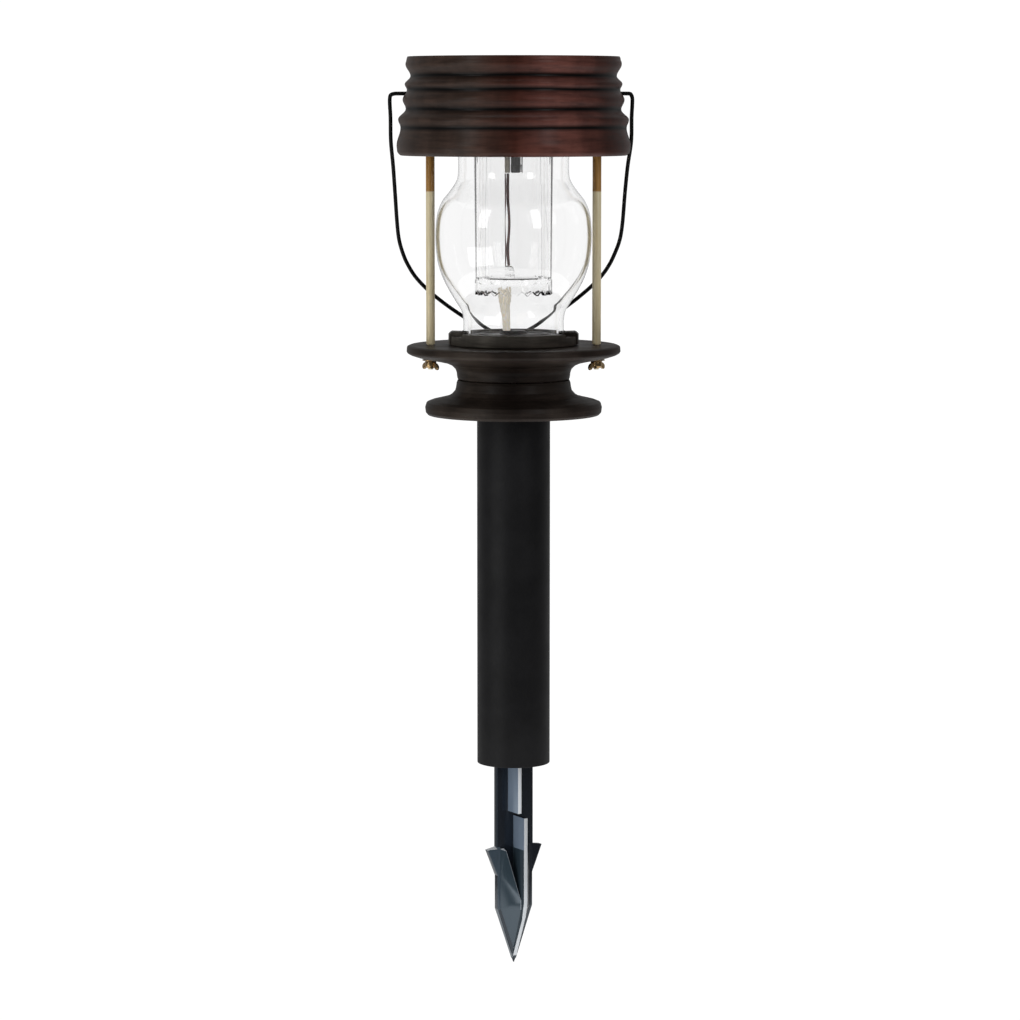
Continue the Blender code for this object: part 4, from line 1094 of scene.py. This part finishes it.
def make_bail():
    """The wire handle, leaning back until its bow rests on the flange."""
    rest = FLANGE_TOP + BAIL_WIRE + 0.3
    lean = math.acos((BAIL_AXIS - rest) / BAIL_LENGTH)
    route = [(x + shift, 0.0, -drop) for x, drop, shift in BAIL_SIDE]
    route += [(shift - x, 0.0, -drop) for x, drop, shift in reversed(BAIL_SIDE[:-1])]
    mesh = tube(smooth_path(route, 6), BAIL_WIRE, 20)
    mesh.transform(Matrix.Translation((0.0, 0.0, BAIL_AXIS * MM)) @ Matrix.Rotation(lean, 4, "X"))
    place("bail_wire", mesh, WIRE_FINISH, "bail", ["bail"], sharp=60.0)
    for side, end in ((-1, "left"), (1, "right")):
        ring = turned_ring([(1.25, 0.5), (2.7, 0.5), (2.7, -0.5), (1.25, -0.5)], 0.15, 2, 32)
        mesh = crossways(ring, (side * 47.4, 0.0, BAIL_AXIS))
        place(f"bail_ring_fine_{end}", mesh, STEEL_FINISH, "bail", [f"bail_ring_{end}"])


# -------------------------------------------------------------- post and spike

def make_post():
    """The round post, a painted tube with slightly eased ends."""
    tube_wall = turned_ring([(16.0, POST_TOP), (17.5, POST_TOP, 0.3), (17.5, 120.0, 0.1),
                             (17.5, 60.0, 0.1), (17.5, 0.0, 0.3), (16.0, 0.0)], 0.25, 3)
    place("post_tube_fine", tube_wall, POST_FINISH, "post", ["post_tube"])


SPIKE_TURN = math.radians(31.0)
BLADE, SHANK, FIN = 3.0, 10.1, 2.0
FIN_REACH, RIB_REACH, RIB_OFFSET = 11.6, 10.9, 3.0
NOTCH_TOP, NOTCH_BOTTOM = -23.6, -25.9
BARB_TOP, BARB_FOOT, SHOULDER = -40.9, -55.0, -71.3


def make_bush():
    """The bush in the post's foot, with a socket in the shape of the spike's tang."""
    low, high = extent("end_bush")
    socket_top = extent("spike")[1][2] + 0.3
    body = lathe(rounded([(0.0, high[2]), (15.7, high[2]), (15.7, low[2]), (0.0, low[2])], 0.5), 128)
    socket = [block((-10.4, -1.8, low[2] - 1.0), (10.4, 1.8, socket_top), 0.0)]
    for side in (-1, 1):
        near, far = sorted((-side * 0.3, side * (RIB_REACH + 0.3)))
        socket.append(block((side * RIB_OFFSET - 1.3, near, low[2] - 1.0),
                            (side * RIB_OFFSET + 1.3, far, socket_top), 0.0))
    spin = Matrix.Rotation(SPIKE_TURN, 4, "Z")
    for mesh in socket:
        mesh.transform(spin)
    place("end_bush_fine", combined(body, [cut(mesh) for mesh in socket]), BLACK_FINISH,
          "bush", ["end_bush"])


def wedge(side, end):
    """One quarter of the arrowhead, a flank cut off along a slope."""
    shape = bmesh.new()
    for x, y, z in ((9.7, 0.0, BARB_TOP), (6.6, 3.4, BARB_TOP), (6.6, 0.0, BARB_TOP),
                    (0.8, 8.9, -67.7), (0.0, 0.0, -67.7), (9.7, 0.0, SHOULDER),
                    (0.0, 9.7, SHOULDER), (0.0, 0.0, TIP + 0.6)):
        shape.verts.new((side * x * MM, end * y * MM, z * MM))
    bmesh.ops.convex_hull(shape, input=shape.verts)
    return finished(shape)


def barb_chamfers(side):
    """Cutters that slope a barb's top towards the front on the left, the back on the right."""
    cutters = []
    for inner, outer, near in ((SHANK, 18.0, -1.6), (4.6, SHANK, BLADE / 2.0)):
        shape = bmesh.new()
        for x in (inner, outer):
            for y in (near, 6.0):
                for z in (BARB_TOP + 0.4 - (y + 1.6) * 0.42, BARB_TOP + 1.0):
                    shape.verts.new((side * x * MM, side * y * MM, z * MM))
        bmesh.ops.convex_hull(shape, input=shape.verts)
        cutters.append(cut(finished(shape)))
    return cutters


def sharpened(mesh):
    """Draw the last 2 mm of the tip in to a point, and cut the faces across at barbs and shoulder."""
    for vert in mesh.vertices:
        if vert.co.z < (TIP + 2.0) * MM:
            vert.co.x *= 0.35
            vert.co.y *= 0.35
    shape = bmesh.new()
    shape.from_mesh(mesh)
    for height in (BARB_TOP - 0.8, BARB_FOOT, SHOULDER - 0.3):
        bmesh.ops.bisect_plane(shape, geom=shape.verts[:] + shape.edges[:] + shape.faces[:],
                               plane_co=(0.0, 0.0, height * MM), plane_no=(0.0, 0.0, 1.0))
    return finished(shape)


def mark_painted_sheen(mesh):
    """How much painted light each face gets: painted highlights, near white, on the outer ends of the fin
    and ribs, the left barb's sloped top and the rounded edges of the front left flank and of its twin
    behind; painted sheen greys the sides of the fin and ribs and those two flanks."""
    # Each level is painted light: near 1 a painted highlight, lower a painted sheen, standing in for lamp
    # reflections.
    wear_and_painted_sheen = mesh.attributes.new("wear_and_painted_sheen", "FLOAT", "FACE")
    for face in mesh.polygons:
        x, y, z = (value / MM for value in face.center)
        normal = face.normal
        half = -1.0 if y < 0.0 else 1.0
        level = 0.0
        rim = sum((mesh.vertices[a].co - mesh.vertices[b].co).length for a, b in face.edge_keys) / MM
        narrow = face.area / (MM * MM) < 0.21 * rim
        fin_end = abs(y) > 3.0 or (z < SHOULDER and abs(x) < 1.4)
        if abs(normal.y) > 0.75 and abs(normal.x) < 0.4 and fin_end:
            level = 1.0
        elif x * half > 8.0 and abs(normal.y) > 0.9 and z < BARB_TOP:
            level = 0.3
        elif x < -4.6 and normal.z > 0.6 and BARB_TOP - 4.0 < z < BARB_TOP + 0.2:
            level = 1.0
        elif narrow and -0.5 < x * half < 9.0 and abs(y) > 1.8 and SHOULDER < z < BARB_TOP + 0.6:
            level = 0.7
        elif normal.x * half > 0.9 and abs(x) < 4.5:
            level = 0.5 if z > BARB_TOP else 0.15
        elif normal.x * half > 0.4 and normal.y * half > 0.4:
            level = 0.25
        elif normal.x * half > 0.6:
            level = 0.3
        wear_and_painted_sheen.data[face.index].value = level


def make_spike():
    """The barbed spike: blade, fin, staggered ribs and arrowhead in one moulding."""
    top = extent("spike")[1][2]
    edge = ((SHANK, top), (SHANK, BARB_TOP), (15.2, BARB_TOP - 1.0), (9.8, BARB_FOOT), (9.8, SHOULDER),
            (0.0, TIP))
    body = prism(edge + tuple((-x, z) for x, z in reversed(edge[:-1])), BLADE, 0.0)
    fin_edge = ((FIN_REACH, NOTCH_BOTTOM), (FIN_REACH, -67.7), (9.8, SHOULDER - 4.0),
                (0.6, TIP + 1.6))
    fin = prism(fin_edge + tuple((-x, z) for x, z in reversed(fin_edge)), FIN, 0.0)
    fin.transform(Matrix.Rotation(math.pi / 2.0, 4, "Z"))
    tools = [fin]
    for side in (-1, 1):
        near, far = sorted((0.0, side * RIB_REACH))
        tools.append(block((side * RIB_OFFSET - FIN / 2.0, near, NOTCH_TOP),
                           (side * RIB_OFFSET + FIN / 2.0, far, top - 0.4), 0.0))
        for end in (-1, 1):
            tools.append(wedge(side, end))
    steps = [add(tool) for tool in tools]
    for side in (-1, 1):
        steps += barb_chamfers(side)
    mesh = sharpened(combined(body, steps, bevel=0.25))
    mark_painted_sheen(mesh)
    mesh.transform(Matrix.Rotation(SPIKE_TURN, 4, "Z"))
    place("spike_moulding", mesh, SPIKE_FINISH, "spike", ["spike"], sharp=30.0)


# --------------------------------------------------------- carried-over pieces

def finish_inner_parts():
    """Materials for the CAD pieces inside the cap, whose shapes are right as they are."""
    finishes = {
        "circuit_board": BOARD_FINISH, "battery": WRAP_FINISH, "contact_spring": STEEL_FINISH,
        "contact_plate": STEEL_FINISH, "switch_body": BLACK_FINISH, "panel_lead": RED_FINISH,
        "lamp_feed_lead": LEAD_BLACK_FINISH, "battery_lead_minus": LEAD_BLACK_FINISH,
        "battery_lead_plus": RED_FINISH,
    }
    for name, finish in finishes.items():
        mesh = frame["nodes"][name].data
        mesh.materials.clear()
        mesh.materials.append(finish)


# ------------------------------------------------------------- light and camera

def softbox(name, size, place_at, aim, brightness):
    """A rectangular area light of a size in metres, aimed at a point, as bright as stated."""
    light = bpy.data.lights.new(name, "AREA")
    light.shape = "RECTANGLE"
    light.size, light.size_y = size
    light.energy = brightness * math.pi * size[0] * size[1]
    lamp = bpy.data.objects.new(name, light)
    bpy.context.scene.collection.objects.link(lamp)
    lamp.location = place_at
    lamp.rotation_euler = (Vector(aim) - Vector(place_at)).to_track_quat("-Z", "Y").to_euler()


LAMP_AIM = (0.0, 0.0, 0.2)
SOFTBOXES = (                  # name, size, place and aim in metres, and brightness
    ("key_left", (0.35, 0.8), (-0.95, -0.9, 0.75), LAMP_AIM, 3.3),
    ("fill_right", (0.3, 0.8), (0.75, -1.05, 0.75), LAMP_AIM, 3.9),
    ("low_left", (0.9, 0.4), (-0.95, -0.75, -0.12), (0.0, 0.0, -0.03), 2.4),
    ("overhead", (0.8, 0.8), (0.0, 0.2, 1.3), LAMP_AIM, 2.0),
)


def make_studio():
    """A world that is white to the camera and grey to other rays, brighter behind, and softboxes."""
    world = bpy.data.worlds.new("studio")
    bpy.context.scene.world = world
    world.use_nodes = True
    nodes, links = world.node_tree.nodes, world.node_tree.links
    nodes.clear()
    split = nodes.new("ShaderNodeSeparateXYZ")
    links.new(nodes.new("ShaderNodeTexCoord").outputs["Generated"], split.inputs["Vector"])
    paths = nodes.new("ShaderNodeLightPath")

    def graded(front, back, dark, bright, interpolation):
        """A background that brightens from one direction's Y to another."""
        change = nodes.new("ShaderNodeMapRange")
        change.interpolation_type = interpolation
        for socket, value in (("From Min", front), ("From Max", back), ("To Min", dark),
                              ("To Max", bright)):
            change.inputs[socket].default_value = value
        background = nodes.new("ShaderNodeBackground")
        links.new(split.outputs["Y"], change.inputs["Value"])
        links.new(change.outputs["Result"], background.inputs["Strength"])
        return background.outputs["Background"]

    def chosen(ray, otherwise, shown):
        """One shader for a kind of ray and another for all others."""
        mixer = nodes.new("ShaderNodeMixShader")
        for source, place_in in ((paths.outputs[ray], 0), (otherwise, 1), (shown, 2)):
            links.new(source, mixer.inputs[place_in])
        return mixer.outputs["Shader"]

    white = nodes.new("ShaderNodeBackground")
    white.inputs["Color"].default_value = (1.0, 1.0, 1.0, 1.0)
    white.inputs["Strength"].default_value = 1.05
    lit = graded(-0.3, 0.8, 0.12, 0.50, "SMOOTHSTEP")
    through_glass = graded(-0.2, 0.7, 0.62, 1.27, "LINEAR")
    others = chosen("Is Transmission Ray", lit, through_glass)
    output = nodes.new("ShaderNodeOutputWorld")
    links.new(chosen("Is Camera Ray", others, white.outputs["Background"]), output.inputs["Surface"])
    for softbox_values in SOFTBOXES:
        softbox(*softbox_values)


FLOOR_HEIGHT, FLOOR_RADIUS = -0.45, 1.2     # in metres


def make_floor_stage():
    """A pale floor disc well below the spike, which glows so that it stays near white."""
    shape = bmesh.new()
    bmesh.ops.create_circle(shape, cap_ends=True, segments=64, radius=FLOOR_RADIUS)
    bmesh.ops.translate(shape, vec=(0.0, 0.0, FLOOR_HEIGHT), verts=shape.verts)
    mesh = finished(shape)
    material = bpy.data.materials.new("pale_floor")
    material.use_nodes = True
    shader = material.node_tree.nodes["Principled BSDF"]
    for socket, value in (("Base Color", (0.8, 0.8, 0.8, 1.0)), ("Roughness", 0.9),
                          ("Specular IOR Level", 0.0), ("Emission Color", (1.0, 1.0, 1.0, 1.0)),
                          ("Emission Strength", 0.75)):
        shader.inputs[socket].default_value = value
    mesh.materials.append(material)
    floor = bpy.data.objects.new("floor", mesh)
    bpy.context.scene.collection.objects.link(floor)


CAMERA_EYE = Vector((-0.0017, -1.680, 0.316))     # in metres
CAMERA_AIM = Vector((-0.0017, 0.0, 0.1226))
CAMERA_LENS = 124.3                               # for a sensor 36 mm wide


def make_camera():
    """The photograph's view: a long lens a little above the cap's skirt, tilted down."""
    data = bpy.data.cameras.new("camera")
    data.sensor_width = 36.0
    data.lens = CAMERA_LENS
    data.clip_end = 200.0
    camera = bpy.data.objects.new("camera", data)
    bpy.context.scene.collection.objects.link(camera)
    camera.location = CAMERA_EYE
    camera.rotation_euler = (CAMERA_AIM - CAMERA_EYE).to_track_quat("-Z", "Y").to_euler()
    bpy.context.scene.camera = camera


for make in (
    make_cap, make_panel, make_floor, make_screws, make_door, make_button, make_globe,
    make_light_guide, make_lamp, make_wick, make_burner, make_collar, make_rods, make_base,
    make_adapter, make_bail, make_post, make_bush, make_spike, finish_inner_parts, make_studio,
    make_floor_stage, make_camera,
):
    make()
bpy.context.scene.view_settings.view_transform = "Standard"
